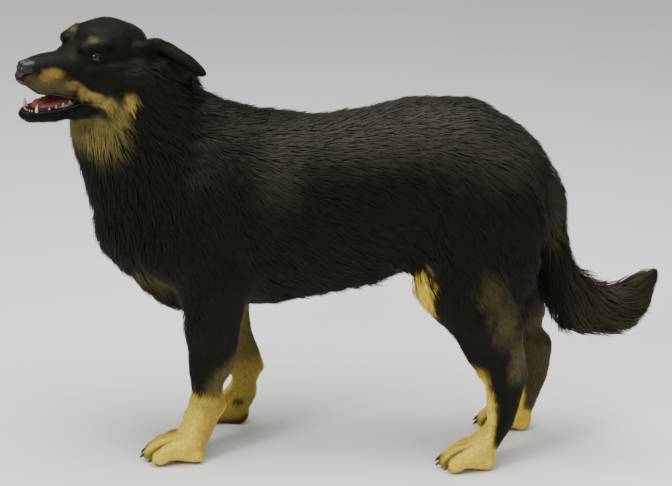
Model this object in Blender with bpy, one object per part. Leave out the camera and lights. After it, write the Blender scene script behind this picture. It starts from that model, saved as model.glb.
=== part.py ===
"""A life-size standing dog of the black-and-tan shepherd kind, as a still display model.

The dog faces -X, +Z is up and its left side is towards -Y. The origin is on the floor under the
middle of its overall box. The flesh is laid up as chains of ellipsoid beads (bones and muscles
with their coat on), fused into one skin, trimmed flat under the paws and then parted with thin
cuts into the pieces that a person would name.
"""

import math

import bmesh
import bpy
from mathutils import Matrix, Vector

# ---------------------------------------------------------------- driving dimensions, in metres
HEAD_YAW = 48.5  # degrees that the head is turned to the dog's left
HEAD_PITCH = 9.4  # degrees that the nose is lifted
HEAD_ROLL = 9.9  # degrees that the left side of the head is tipped down
JAW_OPEN = 14.5  # degrees that the lower jaw hangs open
EYE_MIDDLE = Vector((-0.4089, -0.080, 0.7037))  # halfway between the two eyeballs
EAR_DROOP = {"left": 0.0, "right": 1.0}  # 0 is pricked out sideways, 1 is laid low
PART_GAP = 0.0004  # clear gap between neighbouring pieces

FUSE_VOXEL = 0.0034  # grain in which the masses are fused into one skin
FLESH_TRIANGLES = 3000  # triangles of the whole skin before it is parted

FORE_PAW = (0.112, 0.077)  # length and width
HIND_PAW = (0.099, 0.071)
FORE_SPREAD = 0.080  # how far each front foot stands from the middle
HIND_SPREAD = 0.082
# Each leg as (x, z) of its joints, then how many degrees the paw turns out. The left feet are the
# nearer pair in each stride.
FORE_LEGS = {
    "left": {"elbow": (-0.192, 0.300), "wrist": (-0.201, 0.118), "heel": (-0.203, 0.0), "splay": 0.5},
    "right": {"elbow": (-0.192, 0.300), "wrist": (-0.154, 0.108), "heel": (-0.143, 0.0), "splay": -3.0},
}
HIND_LEGS = {
    "left": {"stifle": (0.177, 0.327), "hock": (0.283, 0.166), "heel": (0.279, 0.0), "splay": 1.0},
    "right": {"stifle": (0.214, 0.325), "hock": (0.338, 0.166), "heel": (0.352, 0.0), "splay": -3.0},
}
SIDE = {"left": -1.0, "right": 1.0}  # direction along Y of each of the body's sides
HEAD_SIDE = {"left": 1.0, "right": -1.0}  # the same along the head's own Y axis
WORLD = Matrix.Identity(4)

# How each piece is painted: colour, roughness.
FINISH = {
    "black_coat": ((0.020, 0.018, 0.015), 0.62),
    "tan_coat": ((0.46, 0.29, 0.10), 0.70),
    "nose_leather": ((0.012, 0.012, 0.012), 0.35),
    "eye": ((0.030, 0.016, 0.008), 0.08),
    "mouth": ((0.36, 0.12, 0.11), 0.35),
}


# ---------------------------------------------------------------- small tools
def material(name):
    found = bpy.data.materials.get(name)
    if found:
        return found
    colour, roughness = FINISH[name]
    made = bpy.data.materials.new(name)
    made.use_nodes = True
    shader = made.node_tree.nodes["Principled BSDF"]
    shader.inputs["Base Color"].default_value = (*colour, 1.0)
    shader.inputs["Roughness"].default_value = roughness
    return made


def new_object(name, mesh):
    made = bpy.data.objects.new(name, mesh)
    bpy.context.scene.collection.objects.link(made)
    return made


def mesh_of(name, bm):
    """A mesh made from a bmesh, which it frees."""
    mesh = bpy.data.meshes.new(name)
    bm.to_mesh(mesh)
    bm.free()
    return mesh


def settle(obj):
    """Applies an object's modifiers."""
    graph = bpy.context.evaluated_depsgraph_get()
    mesh = bpy.data.meshes.new_from_object(obj.evaluated_get(graph))
    obj.modifiers.clear()
    obj.data = mesh
    return obj


def bead_points(centre, radii, tilt=0.0, detail=18):
    """Points all over one ellipsoid. tilt turns it about its own Y axis, in degrees."""
    place = Matrix.Translation(centre) @ Matrix.Rotation(math.radians(tilt), 4, "Y")
    points = []
    rings = detail // 2
    for ring in range(rings + 1):
        down = math.pi * ring / rings
        count = 1 if ring in (0, rings) else detail
        for step in range(count):
            around = 2.0 * math.pi * step / count
            x = radii[0] * math.sin(down) * math.cos(around)
            y = radii[1] * math.sin(down) * math.sin(around)
            points.append(place @ Vector((x, y, radii[2] * math.cos(down))))
    return points


def hull_mesh(points, frame=None):
    """The convex hull of some points, as a mesh."""
    bm = bmesh.new()
    for point in points:
        bm.verts.new(frame @ point if frame else point)
    hull = bmesh.ops.convex_hull(bm, input=bm.verts)
    inside = hull["geom_interior"] + hull["geom_unused"]
    spare = {item for item in inside if isinstance(item, bmesh.types.BMVert)}
    bmesh.ops.delete(bm, geom=list(spare), context="VERTS")
    return mesh_of("hull", bm)


def chain(masses, beads, frame=None, detail=18):
    """Adds a limb to the masses: each two neighbouring beads are wrapped in one hull.

    A bead is (centre, radii) or (centre, radii, tilt).
    """
    for first, second in zip(beads, beads[1:]):
        points = bead_points(*first, detail=detail) + bead_points(*second, detail=detail)
        hull = hull_mesh(points, frame)
        masses.from_mesh(hull)
        bpy.data.meshes.remove(hull)


# ---------------------------------------------------------------- trunk, neck and tail
def trunk(masses):
    """Chest, ribs, loin and croup, as one barrel that is deepest behind the elbows."""
    spine = [
        ((-0.288, 0.0, 0.404), (0.118, 0.104, 0.112)),
        ((-0.215, 0.0, 0.430), (0.120, 0.120, 0.168)),
        ((-0.120, 0.0, 0.424), (0.110, 0.127, 0.168)),
        ((-0.030, 0.0, 0.430), (0.105, 0.126, 0.154)),
        ((0.050, 0.0, 0.446), (0.100, 0.118, 0.152)),
        ((0.120, 0.0, 0.476), (0.100, 0.108, 0.142)),
        ((0.200, 0.0, 0.500), (0.100, 0.108, 0.120)),
        ((0.262, 0.0, 0.478), (0.086, 0.092, 0.106)),
    ]
    chain(masses, spine, detail=28)
    # The breast bone and the ruff over it.
    brisket = [
        ((-0.330, 0.0, 0.404), (0.075, 0.082, 0.090)),
        ((-0.252, 0.0, 0.339), (0.084, 0.088, 0.099)),
    ]
    chain(masses, brisket, detail=28)
    for side in (-1.0, 1.0):
        shoulder = [
            ((-0.175, side * 0.046, 0.525), (0.060, 0.046, 0.050)),
            ((-0.205, side * 0.078, 0.450), (0.078, 0.050, 0.075)),
            ((-0.255, side * 0.080, 0.376), (0.070, 0.052, 0.066)),
        ]
        chain(masses, shoulder)
        flank = [
            ((0.165, side * 0.066, 0.395), (0.060, 0.038, 0.062)),
            ((0.115, side * 0.056, 0.370), (0.050, 0.036, 0.040)),
        ]
        chain(masses, flank)


def neck(masses):
    """A thick ruffed neck that climbs steeply from the shoulders to the head."""
    column = [
        ((-0.262, 0.0, 0.445), (0.146, 0.116, 0.142)),
        ((-0.300, -0.002, 0.505), (0.126, 0.108, 0.122)),
        ((-0.322, -0.004, 0.570), (0.117, 0.098, 0.096)),
        ((-0.334, -0.010, 0.632), (0.106, 0.088, 0.076)),
    ]
    chain(masses, column, detail=28)
    crest = [
        ((-0.176, 0.0, 0.538), (0.080, 0.062, 0.064)),
        ((-0.262, 0.0, 0.567), (0.072, 0.070, 0.068)),
    ]
    chain(masses, crest, detail=24)


def tail(masses):
    """A bushy tail: it hangs behind the thighs, then swings out level with a raised tip."""
    lie = [
        ((0.300, 0.0, 0.512), (0.045, 0.040, 0.045)),
        ((0.338, 0.0, 0.452), (0.042, 0.038, 0.050)),
        ((0.350, 0.0, 0.375), (0.038, 0.038, 0.050)),
        ((0.378, 0.0, 0.303), (0.048, 0.042, 0.052)),
        ((0.415, 0.0, 0.262), (0.052, 0.044, 0.052)),
        ((0.465, 0.0, 0.262), (0.050, 0.042, 0.051)),
        ((0.500, 0.0, 0.284), (0.034, 0.032, 0.042)),
        ((0.530, 0.0, 0.308), (0.012, 0.014, 0.026)),
    ]
    chain(masses, lie)


# ---------------------------------------------------------------- legs
TOE_PLACES = (-1.5, -0.5, 0.5, 1.5)  # the four toes across a paw, in toe spacings
OUTER_TOE = 0.86  # how far the outer toes reach, next to the middle ones


def paw_frame(heel, y, splay):
    """The paw's own axes, with their origin under the back of the heel pad."""
    return Matrix.Translation((heel[0], y, heel[1])) @ Matrix.Rotation(math.radians(splay), 4, "Z")


def paw(masses, frame, length, width):
    """A paw with four arched toes. It points along -X from the back of its heel pad."""
    spacing = width / 4.0
    for place in TOE_PLACES:
        reach = length * (1.0 if abs(place) < 1.0 else OUTER_TOE)
        across = place * spacing
        toe = [
            ((-0.42 * length, across * 0.80, 0.031), (0.020, 0.0145, 0.019)),
            ((-reach + 0.031, across * 0.97, 0.0265), (0.0165, 0.0118, 0.0168)),
            ((-reach + 0.0135, across, 0.0125), (0.0135, 0.0104, 0.0135)),
        ]
        chain(masses, toe, frame, detail=12)
    pads = [
        ((-0.020, 0.0, 0.017), (0.020, 0.36 * width, 0.020)),
        ((-0.50 * length, 0.0, 0.016), (0.026, 0.38 * width, 0.018)),
    ]
    chain(masses, pads, frame)


def fore_leg(masses, side, elbow, wrist, heel, splay):
    """Upper arm, forearm, wrist and pastern, down to the paw. Places are (x, z) pairs."""
    y = side * FORE_SPREAD
    upper_arm = [
        ((-0.240, side * 0.086, 0.385), (0.060, 0.050, 0.062)),
        ((elbow[0] - 0.004, side * 0.090, elbow[1] + 0.026), (0.062, 0.043, 0.055)),
        ((elbow[0] - 0.008, side * 0.087, elbow[1] - 0.040), (0.050, 0.036, 0.045)),
    ]
    chain(masses, upper_arm)
    middle = [0.5 * (elbow[i] + wrist[i]) for i in range(2)]
    forearm = [
        ((elbow[0] - 0.008, side * 0.087, elbow[1] - 0.040), (0.050, 0.036, 0.045)),
        ((middle[0], y, middle[1]), (0.040, 0.032, 0.040)),
        ((wrist[0], y, wrist[1]), (0.033, 0.031, 0.030)),
        ((0.5 * (wrist[0] + heel[0] - 0.030), y, 0.5 * (wrist[1] + 0.05)), (0.030, 0.029, 0.026)),
        ((heel[0] - 0.030, y, 0.040), (0.030, 0.031, 0.024)),
    ]
    chain(masses, forearm)
    stopper_pad = [
        ((wrist[0] + 0.014, y, wrist[1] + 0.004), (0.020, 0.016, 0.020)),
        ((wrist[0] + 0.028, y, wrist[1] - 0.004), (0.009, 0.010, 0.010)),
    ]
    chain(masses, stopper_pad, detail=12)
    paw(masses, paw_frame(heel, y, splay), *FORE_PAW)


def hind_leg(masses, side, stifle, hock, heel, splay):
    """Thigh, knee, second thigh, hock and rear pastern. Places are (x, z) pairs."""
    y = side * HIND_SPREAD
    thigh = [
        ((0.225, side * 0.056, 0.500), (0.080, 0.050, 0.070)),
        ((0.242, side * 0.074, 0.425), (0.104, 0.047, 0.100), -12.0),
        ((stifle[0] + 0.056, side * 0.086, stifle[1] + 0.022), (0.086, 0.041, 0.074), -20.0),
    ]
    chain(masses, thigh, detail=24)
    second_thigh = [
        ((stifle[0], side * 0.090, stifle[1] - 0.004), (0.052, 0.038, 0.058)),
        ((stifle[0] + 0.052, side * 0.088, stifle[1] - 0.052), (0.056, 0.036, 0.052)),
        ((0.42 * stifle[0] + 0.58 * hock[0], y, 0.42 * stifle[1] + 0.58 * hock[1]), (0.042, 0.031, 0.040)),
        ((hock[0], y, hock[1]), (0.031, 0.025, 0.032)),
    ]
    chain(masses, second_thigh)
    tendon = [
        ((stifle[0] + 0.106, side * 0.084, stifle[1] + 0.052), (0.052, 0.034, 0.060)),
        ((0.35 * stifle[0] + 0.65 * hock[0] + 0.030, y, 0.35 * stifle[1] + 0.65 * hock[1] + 0.020),
         (0.034, 0.026, 0.034)),
        ((hock[0] + 0.021, y, hock[1] + 0.004), (0.019, 0.018, 0.018)),
    ]
    chain(masses, tendon)
    rear_pastern = [
        ((hock[0] + 0.004, y, hock[1]), (0.034, 0.025, 0.030)),
        ((0.5 * (hock[0] + heel[0]), y, 0.095), (0.025, 0.023, 0.030)),
        ((heel[0] - 0.026, y, 0.044), (0.027, 0.027, 0.024)),
    ]
    chain(masses, rear_pastern)
    paw(masses, paw_frame(heel, y, splay), *HIND_PAW)




# ---------------------------------------------------------------- head
def head_frame():
    """From the head's own axes (X to the nose, Y to its left, Z up, origin between the eyes)."""
    return (
        Matrix.Translation(EYE_MIDDLE)
        @ Matrix.Rotation(math.radians(180.0 + HEAD_YAW), 4, "Z")
        @ Matrix.Rotation(math.radians(-HEAD_PITCH), 4, "Y")
        @ Matrix.Rotation(math.radians(-HEAD_ROLL), 4, "X")
    )


JAW_HINGE = Vector((-0.075, 0.0, -0.042))
EYE_RADIUS = 0.0118
EYE_PLACE = Vector((-0.0072, 0.0300, -0.0010))


def jaw_frame():
    """The head's axes with the lower jaw swung open about its hinge."""
    swing = Matrix.Rotation(math.radians(JAW_OPEN), 4, "Y")
    return head_frame() @ Matrix.Translation(JAW_HINGE) @ swing @ Matrix.Translation(-JAW_HINGE)


def skull(masses):
    """Brain case, brow, cheek bones and muzzle."""
    frame = head_frame()
    case = [
        ((-0.092, 0.0, -0.002), (0.046, 0.048, 0.047)),
        ((-0.058, 0.0, 0.004), (0.050, 0.053, 0.048)),
        ((-0.024, 0.0, 0.006), (0.034, 0.044, 0.039)),
    ]
    chain(masses, case, frame, detail=24)
    muzzle = [
        ((-0.022, 0.0, -0.004), (0.034, 0.042, 0.036)),
        ((0.020, 0.0, -0.030), (0.028, 0.033, 0.028)),
        ((0.062, 0.0, -0.033), (0.028, 0.0265, 0.0265)),
        ((0.089, 0.0, -0.036), (0.021, 0.0185, 0.0220)),
    ]
    chain(masses, muzzle, frame, detail=24)
    for side in (-1.0, 1.0):
        brow = [
            ((-0.022, side * 0.030, 0.020), (0.021, 0.016, 0.013)),
            ((0.004, side * 0.022, 0.012), (0.013, 0.013, 0.011)),
        ]
        chain(masses, brow, frame)
        cheek = [
            ((-0.078, side * 0.038, -0.024), (0.032, 0.028, 0.036)),
            ((-0.046, side * 0.040, -0.034), (0.036, 0.025, 0.034)),
            ((-0.006, side * 0.030, -0.034), (0.026, 0.019, 0.024)),
        ]
        chain(masses, cheek, frame)
        chops = [
            ((-0.048, side * 0.034, -0.060), (0.034, 0.022, 0.030)),
            ((-0.004, side * 0.028, -0.060), (0.026, 0.016, 0.020)),
            ((0.046, side * 0.021, -0.053), (0.024, 0.012, 0.0145)),
            ((0.092, side * 0.013, -0.044), (0.019, 0.012, 0.0130)),
        ]
        chain(masses, chops, frame)
    ruff = [
        ((-0.066, 0.0, -0.050), (0.052, 0.060, 0.050)),
        ((-0.100, 0.0, -0.060), (0.058, 0.066, 0.062)),
    ]
    chain(masses, ruff, frame, detail=24)


def lower_jaw(masses):
    """Two jaw branches that meet at the chin, with the floor of the mouth between them."""
    frame = jaw_frame()
    for side in (-1.0, 1.0):
        branch = [
            ((-0.050, side * 0.030, -0.074), (0.034, 0.018, 0.026)),
            ((-0.004, side * 0.027, -0.074), (0.026, 0.013, 0.018)),
            ((0.042, side * 0.018, -0.073), (0.022, 0.011, 0.0130)),
            ((0.086, side * 0.008, -0.068), (0.015, 0.0095, 0.0110)),
        ]
        chain(masses, branch, frame)
    floor = [
        ((-0.060, 0.0, -0.086), (0.036, 0.034, 0.022)),
        ((-0.010, 0.0, -0.084), (0.026, 0.026, 0.011)),
        ((0.036, 0.0, -0.079), (0.022, 0.016, 0.008)),
        ((0.084, 0.0, -0.071), (0.014, 0.010, 0.0085)),
    ]
    chain(masses, floor, frame)


def ear_edges(side, droop):
    """Beads along the front and the back edge of a folded ear, which stands out sideways and back.

    droop lowers the flap and lays it nearer to the neck, from 0 to 1.
    """
    tip = (-0.157, side * (0.127 - 0.030 * droop), 0.008 - 0.046 * droop)
    front_edge = [
        ((-0.080, side * 0.046, 0.016), (0.021, 0.012, 0.015)),
        ((-0.106, side * (0.070 - 0.002 * droop), 0.029 - 0.012 * droop), (0.020, 0.008, 0.009)),
        ((-0.133, side * (0.101 - 0.014 * droop), 0.023 - 0.034 * droop), (0.018, 0.007, 0.009)),
        (tip, (0.006, 0.005, 0.006)),
    ]
    back_edge = [
        ((-0.098, side * 0.050, -0.012), (0.019, 0.010, 0.019)),
        ((-0.122, side * (0.075 - 0.004 * droop), 0.003 - 0.014 * droop), (0.012, 0.006, 0.023)),
        ((-0.143, side * (0.103 - 0.016 * droop), 0.008 - 0.034 * droop), (0.009, 0.005, 0.017)),
        (tip, (0.006, 0.005, 0.006)),
    ]
    return front_edge, back_edge


def ear(masses, side, droop):
    for edge in ear_edges(side, droop):
        chain(masses, edge, head_frame())


# ---------------------------------------------------------------- fusing
def flesh():
    """Every fleshy mass of the dog, fused into one closed skin."""
    masses = bmesh.new()
    trunk(masses)
    neck(masses)
    tail(masses)
    for name, side in SIDE.items():
        fore_leg(masses, side, **FORE_LEGS[name])
        hind_leg(masses, side, **HIND_LEGS[name])
    skull(masses)
    lower_jaw(masses)
    for name, side in HEAD_SIDE.items():
        ear(masses, side, EAR_DROOP[name])
    body = new_object("flesh", mesh_of("flesh", masses))
    fuse = body.modifiers.new("fuse", "REMESH")
    fuse.mode = "VOXEL"
    fuse.voxel_size = FUSE_VOXEL
    settle(body)
    blend(body)
    return body


def blend(body):
    """Melts the masses into each other: far on the trunk, little on the head, tail and paws."""
    crisp_leg, soft_leg = 0.16, 0.26  # heights between which a leg turns from crisp to soft
    crisp = 0.15
    head_base = 0.60
    ear_out = 0.062
    tail_start = 0.34
    loose = body.vertex_groups.new(name="loose")
    to_head = head_frame().inverted()
    for vertex in body.data.vertices:
        place = vertex.co
        climb = (place.z - crisp_leg) / (soft_leg - crisp_leg)
        weight = crisp + (1.0 - crisp) * min(max(climb, 0.0), 1.0)
        if place.x < -0.20 and place.z > head_base:
            weight = max(0.10, 1.0 - 20.0 * (place.z - head_base))
            if abs((to_head @ place).y) > ear_out:
                weight = 0.0
        if place.x > tail_start:
            weight = 0.4
        loose.add([vertex.index], weight, "REPLACE")
    melt = body.modifiers.new("melt", "SMOOTH")
    melt.factor = 0.7
    melt.iterations = 40
    melt.vertex_group = "loose"
    even = body.modifiers.new("even", "SMOOTH")
    even.factor = 0.5
    even.iterations = 3
    settle(body)


# ---------------------------------------------------------------- eyes, nose, tongue, teeth, claws
def round_mesh(beads, frame, detail):
    """One hull or several, each a body of its own, as a mesh."""
    bm = bmesh.new()
    chain(bm, beads, frame, detail)
    return mesh_of("round", bm)


def eyeball_mesh(side, grow=0.0):
    bm = bmesh.new()
    place = Vector((EYE_PLACE.x, side * EYE_PLACE.y, EYE_PLACE.z))
    bmesh.ops.create_icosphere(
        bm, subdivisions=2, radius=EYE_RADIUS + grow, matrix=head_frame() @ Matrix.Translation(place)
    )
    return mesh_of("eyeball", bm)


def nose_mesh(grow=0.0):
    """The bare nose pad, wider at the top than at the lip."""
    beads = [
        ((0.0985, 0.0, -0.0275), (0.0150 + grow, 0.0165 + grow, 0.0115 + grow)),
        ((0.1045, 0.0, -0.0360), (0.0120 + grow, 0.0130 + grow, 0.0120 + grow)),
    ]
    return round_mesh(beads, head_frame(), 10)


def tongue_mesh(grow=0.0):
    """The tongue, which lies between the branches of the lower jaw."""
    beads = [
        ((-0.030, 0.0, -0.0690), (0.030 + grow, 0.0190 + grow, 0.0085 + grow)),
        ((0.066, 0.0, -0.0655), (0.016 + grow, 0.0135 + grow, 0.0050 + grow)),
    ]
    return round_mesh(beads, jaw_frame(), 8)


def lower_teeth(side):
    """Beads of one side's lower teeth: a canine, three front teeth and a row of cheek teeth."""
    teeth = [
        [
            ((0.0810, side * 0.0165, -0.0630), (0.0048, 0.0040, 0.0080)),
            ((0.0815, side * 0.0185, -0.0435), (0.0010, 0.0010, 0.0014)),
        ]
    ]
    for place in range(3):
        across = side * (0.0022 + 0.0042 * place)
        front = 0.0935 - 0.0016 * place
        root = ((front - 0.002, across, -0.0640), (0.0030, 0.0019, 0.0050))
        teeth.append([root, ((front, across, -0.0545), (0.0012, 0.0017, 0.0018))])
    for place in range(3):
        along = 0.050 - 0.0180 * place
        size = 0.0058 + 0.0006 * place
        out = side * (0.0185 + 0.0021 * place)
        root = ((along, out, -0.0690), (size, 0.0034, 0.0060))
        teeth.append([root, ((along, out, -0.0605), (0.35 * size, 0.0014, 0.0030))])
    return teeth


def upper_teeth(side):
    """The upper canine and the row of cheek teeth behind it."""
    teeth = [
        [
            ((0.0800, side * 0.0150, -0.0480), (0.0050, 0.0040, 0.0070)),
            ((0.0815, side * 0.0165, -0.0590), (0.0010, 0.0010, 0.0016)),
        ]
    ]
    for place in range(3):
        along = 0.048 - 0.0170 * place
        size = 0.0062 + 0.0008 * place
        out = side * (0.0190 + 0.0022 * place)
        root = ((along, out, -0.0560), (size, 0.0036, 0.0070))
        teeth.append([root, ((along, out, -0.0665 - 0.0010 * place), (0.35 * size, 0.0014, 0.0030))])
    return teeth


def claws(length, width):
    """Beads of a paw's four claws, in the paw's own axes."""
    made = []
    for place in TOE_PLACES:
        reach = length * (1.0 if abs(place) < 1.0 else OUTER_TOE)
        across = place * width / 4.0
        made.append(
            [
                ((-reach + 0.005, across, 0.0145), (0.0060, 0.0027, 0.0040)),
                ((-reach - 0.0085, across, 0.0060), (0.0010, 0.0008, 0.0014)),
            ]
        )
    return made


# ---------------------------------------------------------------- cutting
def cut(piece, tool_mesh, operation):
    """Applies one exact Boolean to a piece, with a mesh as its tool, which it frees."""
    tool = new_object("tool", tool_mesh)
    step = piece.modifiers.new("cut", "BOOLEAN")
    step.operation = operation
    step.solver = "EXACT"
    step.object = tool
    step.use_self = True
    settle(piece)
    bpy.data.objects.remove(tool)
    bpy.data.meshes.remove(tool_mesh)


def keep_largest(piece):
    """Drops crumbs that a cut left beside the main body of a piece, and evens out tiny edges."""
    bm = bmesh.new()
    bm.from_mesh(piece.data)
    bmesh.ops.remove_doubles(bm, verts=bm.verts, dist=0.00002)
    bodies = []
    waiting = set(bm.verts)
    while waiting:
        body = {waiting.pop()}
        edge = list(body)
        while edge:
            vertex = edge.pop()
            for link in vertex.link_edges:
                other = link.other_vert(vertex)
                if other in waiting:
                    waiting.discard(other)
                    body.add(other)
                    edge.append(other)
        bodies.append(body)
    bodies.sort(key=len)
    for crumb in bodies[:-1]:
        bmesh.ops.delete(bm, geom=list(crumb), context="VERTS")
    bmesh.ops.dissolve_degenerate(bm, dist=0.00002, edges=bm.edges)
    bmesh.ops.triangulate(bm, faces=bm.faces)
    bm.to_mesh(piece.data)
    bm.free()


def part_off(whole, name, region):
    """Takes the flesh inside a region off the whole, as a piece of its own, with a clear gap between.

    region(grow) makes the region's mesh, grown all round by grow.
    """
    piece = whole.copy()
    piece.data = whole.data.copy()
    piece.name = name
    bpy.context.scene.collection.objects.link(piece)
    cut(piece, region(0.0), "INTERSECT")
    cut(whole, region(PART_GAP), "DIFFERENCE")
    keep_largest(piece)
    keep_largest(whole)
    return piece


def block(frame, low, high):
    """A region maker: a box between two corners, in a frame's axes."""

    def region(grow):
        bm = bmesh.new()
        size = Vector(high) - Vector(low) + Vector((2.0 * grow,) * 3)
        middle = 0.5 * (Vector(low) + Vector(high))
        place = frame @ Matrix.Translation(middle) @ Matrix.Diagonal((*size, 1.0))
        bmesh.ops.create_cube(bm, size=1.0, matrix=place)
        return mesh_of("block", bm)

    return region


def beyond(frame, point, normal, reach=0.35):
    """A region maker: a box that fills the space beyond a plane, in the direction of its normal."""
    turn = Vector(normal).to_track_quat("Z", "Y").to_matrix().to_4x4()
    plane = frame @ Matrix.Translation(point) @ turn
    return block(plane, (-reach, -reach, 0.0), (reach, reach, 2.0 * reach))


def husk(frame, beads):
    """A region maker: the convex hull of some beads."""

    def region(grow):
        points = []
        for centre, radii in beads:
            points += bead_points(centre, [radius + grow for radius in radii], detail=6)
        return hull_mesh(points, frame)

    return region


def part_head(body, pieces):
    """Ears, head and lower jaw."""
    frame = head_frame()
    for name, side in HEAD_SIDE.items():
        front, back = ear_edges(side, EAR_DROOP[name])
        margin = 0.0035
        beads = [(c, [r + margin for r in radii]) for c, radii in front + back]
        root = (beads[0], beads[4])
        inset = Vector((0.0, side * 0.012, 0.0))
        beads = [(Vector(b[0]) + inset, b[1]) if b in root else b for b in beads]
        pieces["ear_" + name] = part_off(body, "ear_" + name, husk(frame, beads))
    neck_plane = beyond(frame, (-0.105, 0.0, -0.068), (0.74, 0.0, 0.67))
    pieces["head"] = part_off(body, "head", neck_plane)
    jaw_block = block(jaw_frame(), (-0.046, -0.08, -0.16), (0.16, 0.08, -0.0515))
    pieces["lower_jaw"] = part_off(pieces["head"], "lower_jaw", jaw_block)


def part_legs(body, pieces):
    """Shoulders, forearms and front paws; thighs, shanks, rear pasterns and hind paws."""
    for name, side in SIDE.items():
        front = [
            ((-0.165, side * 0.106, 0.520), (0.058, 0.052, 0.060)),
            ((-0.262, side * 0.106, 0.372), (0.072, 0.062, 0.075)),
            ((-0.180, side * 0.106, 0.300), (0.075, 0.070, 0.070)),
            ((-0.200, side * 0.086, 0.020), (0.130, 0.068, 0.060)),
        ]
        shoulder = part_off(body, "shoulder_" + name, husk(WORLD, front))
        pieces["shoulder_" + name] = shoulder
        elbow = beyond(WORLD, (-0.2, 0.0, 0.248), (0.10, 0.0, -1.0))
        forearm = part_off(shoulder, "forearm_" + name, elbow)
        pieces["forearm_" + name] = forearm
        wrist = beyond(WORLD, (-0.2, 0.0, 0.104), (-0.10, 0.0, -1.0))
        pieces["paw_front_" + name] = part_off(forearm, "paw_front_" + name, wrist)
        shift = HIND_LEGS[name]["stifle"][0] - HIND_LEGS["left"]["stifle"][0]
        back = [
            ((0.215, side * 0.108, 0.500), (0.070, 0.050, 0.055)),
            ((0.286, side * 0.108, 0.430), (0.062, 0.056, 0.070)),
            ((0.180 + shift, side * 0.112, 0.335), (0.076, 0.096, 0.070)),
            ((0.290 + shift, side * 0.106, 0.340), (0.060, 0.096, 0.060)),
            ((0.300 + shift, side * 0.090, 0.165), (0.060, 0.066, 0.050)),
            ((0.220 + shift, side * 0.090, 0.020), (0.130, 0.066, 0.050)),
        ]
        thigh = part_off(body, "thigh_" + name, husk(WORLD, back))
        pieces["thigh_" + name] = thigh
        knee = beyond(WORLD, (0.215 + shift, 0.0, 0.292), (-0.10, 0.0, -1.0))
        shank = part_off(thigh, "shank_" + name, knee)
        pieces["shank_" + name] = shank
        hock = beyond(WORLD, (0.283 + shift, 0.0, 0.142), (-0.10, 0.0, -1.0))
        rear_pastern = part_off(shank, "pastern_" + name, hock)
        pieces["pastern_" + name] = rear_pastern
        foot = beyond(WORLD, (0.262 + shift, 0.0, 0.056), (-0.35, 0.0, -1.0))
        pieces["paw_hind_" + name] = part_off(rear_pastern, "paw_hind_" + name, foot)


def part_trunk(body, pieces):
    """Tail, neck, chest and loins. What is left of the body after the other cuts is the chest."""
    root = [
        ((0.328, 0.0, 0.455), (0.012, 0.038, 0.085)),
        ((0.345, 0.0, 0.300), (0.030, 0.052, 0.120)),
        ((0.560, 0.0, 0.300), (0.060, 0.090, 0.140)),
    ]
    tail_root = part_off(body, "tail_root", husk(WORLD, root))
    pieces["tail_root"] = tail_root
    brush = beyond(WORLD, (0.362, 0.0, 0.345), (0.35, 0.0, -1.0))
    pieces["tail_middle"] = part_off(tail_root, "tail_middle", brush)
    tip = beyond(WORLD, (0.448, 0.0, 0.262), (1.0, 0.0, 0.10))
    pieces["tail_tip"] = part_off(pieces["tail_middle"], "tail_tip", tip)
    pieces["neck"] = part_off(body, "neck", beyond(WORLD, (-0.295, 0.0, 0.520), (-0.606, 0.0, 0.795)))
    pieces["loins"] = part_off(body, "loins", beyond(WORLD, (0.045, 0.0, 0.45), (1.0, 0.0, 0.0), reach=0.5))
    body.name = "chest"
    pieces["chest"] = body


def grow_on(piece, sets, frame):
    """Joins teeth or claws, given as bead lists, onto the piece that they grow from."""
    for beads in sets:
        for first, second in zip(beads, beads[1:]):
            points = bead_points(*first, detail=4) + bead_points(*second, detail=4)
            cut(piece, hull_mesh(points, frame), "UNION")
    keep_largest(piece)


def thin_out(body):
    """Brings the flesh down to its number of triangles."""
    thin = body.modifiers.new("thin", "DECIMATE")
    thin.ratio = FLESH_TRIANGLES / (2.0 * len(body.data.polygons))
    settle(body)


def seat_small_parts(body):
    """Clear seats in the flesh for the eyes, the nose and the tongue."""
    for side in HEAD_SIDE.values():
        cut(body, eyeball_mesh(side, PART_GAP), "DIFFERENCE")
    cut(body, nose_mesh(PART_GAP), "DIFFERENCE")
    cut(body, tongue_mesh(PART_GAP), "DIFFERENCE")


def add_small_parts(pieces):
    """Eyes, nose and tongue as pieces; teeth and claws joined to what they grow from."""
    for name, side in HEAD_SIDE.items():
        pieces["eye_" + name] = new_object("eye_" + name, eyeball_mesh(side))
        grow_on(pieces["lower_jaw"], lower_teeth(side), jaw_frame())
        grow_on(pieces["head"], upper_teeth(side), head_frame())
    pieces["nose"] = new_object("nose", nose_mesh())
    pieces["tongue"] = new_object("tongue", tongue_mesh())
    for name, side in SIDE.items():
        fore = paw_frame(FORE_LEGS[name]["heel"], side * FORE_SPREAD, FORE_LEGS[name]["splay"])
        grow_on(pieces["paw_front_" + name], claws(*FORE_PAW), fore)
        hind = paw_frame(HIND_LEGS[name]["heel"], side * HIND_SPREAD, HIND_LEGS[name]["splay"])
        grow_on(pieces["paw_hind_" + name], claws(*HIND_PAW), hind)


def look_of(name):
    """Which finish a piece has."""
    if name.startswith("eye"):
        return "eye"
    if name == "nose":
        return "nose_leather"
    if name == "tongue":
        return "mouth"
    if name.startswith("paw"):
        return "tan_coat"
    return "black_coat"


def centre(pieces):
    """Moves the dog so that the origin is on the floor, under the middle of its overall box."""
    places = [vertex.co for piece in pieces for vertex in piece.data.vertices]
    low = [min(place[axis] for place in places) for axis in range(2)]
    high = [max(place[axis] for place in places) for axis in range(2)]
    shift = Matrix.Translation((-0.5 * (low[0] + high[0]), -0.5 * (low[1] + high[1]), 0.0))
    for piece in pieces:
        piece.data.transform(shift)


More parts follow.
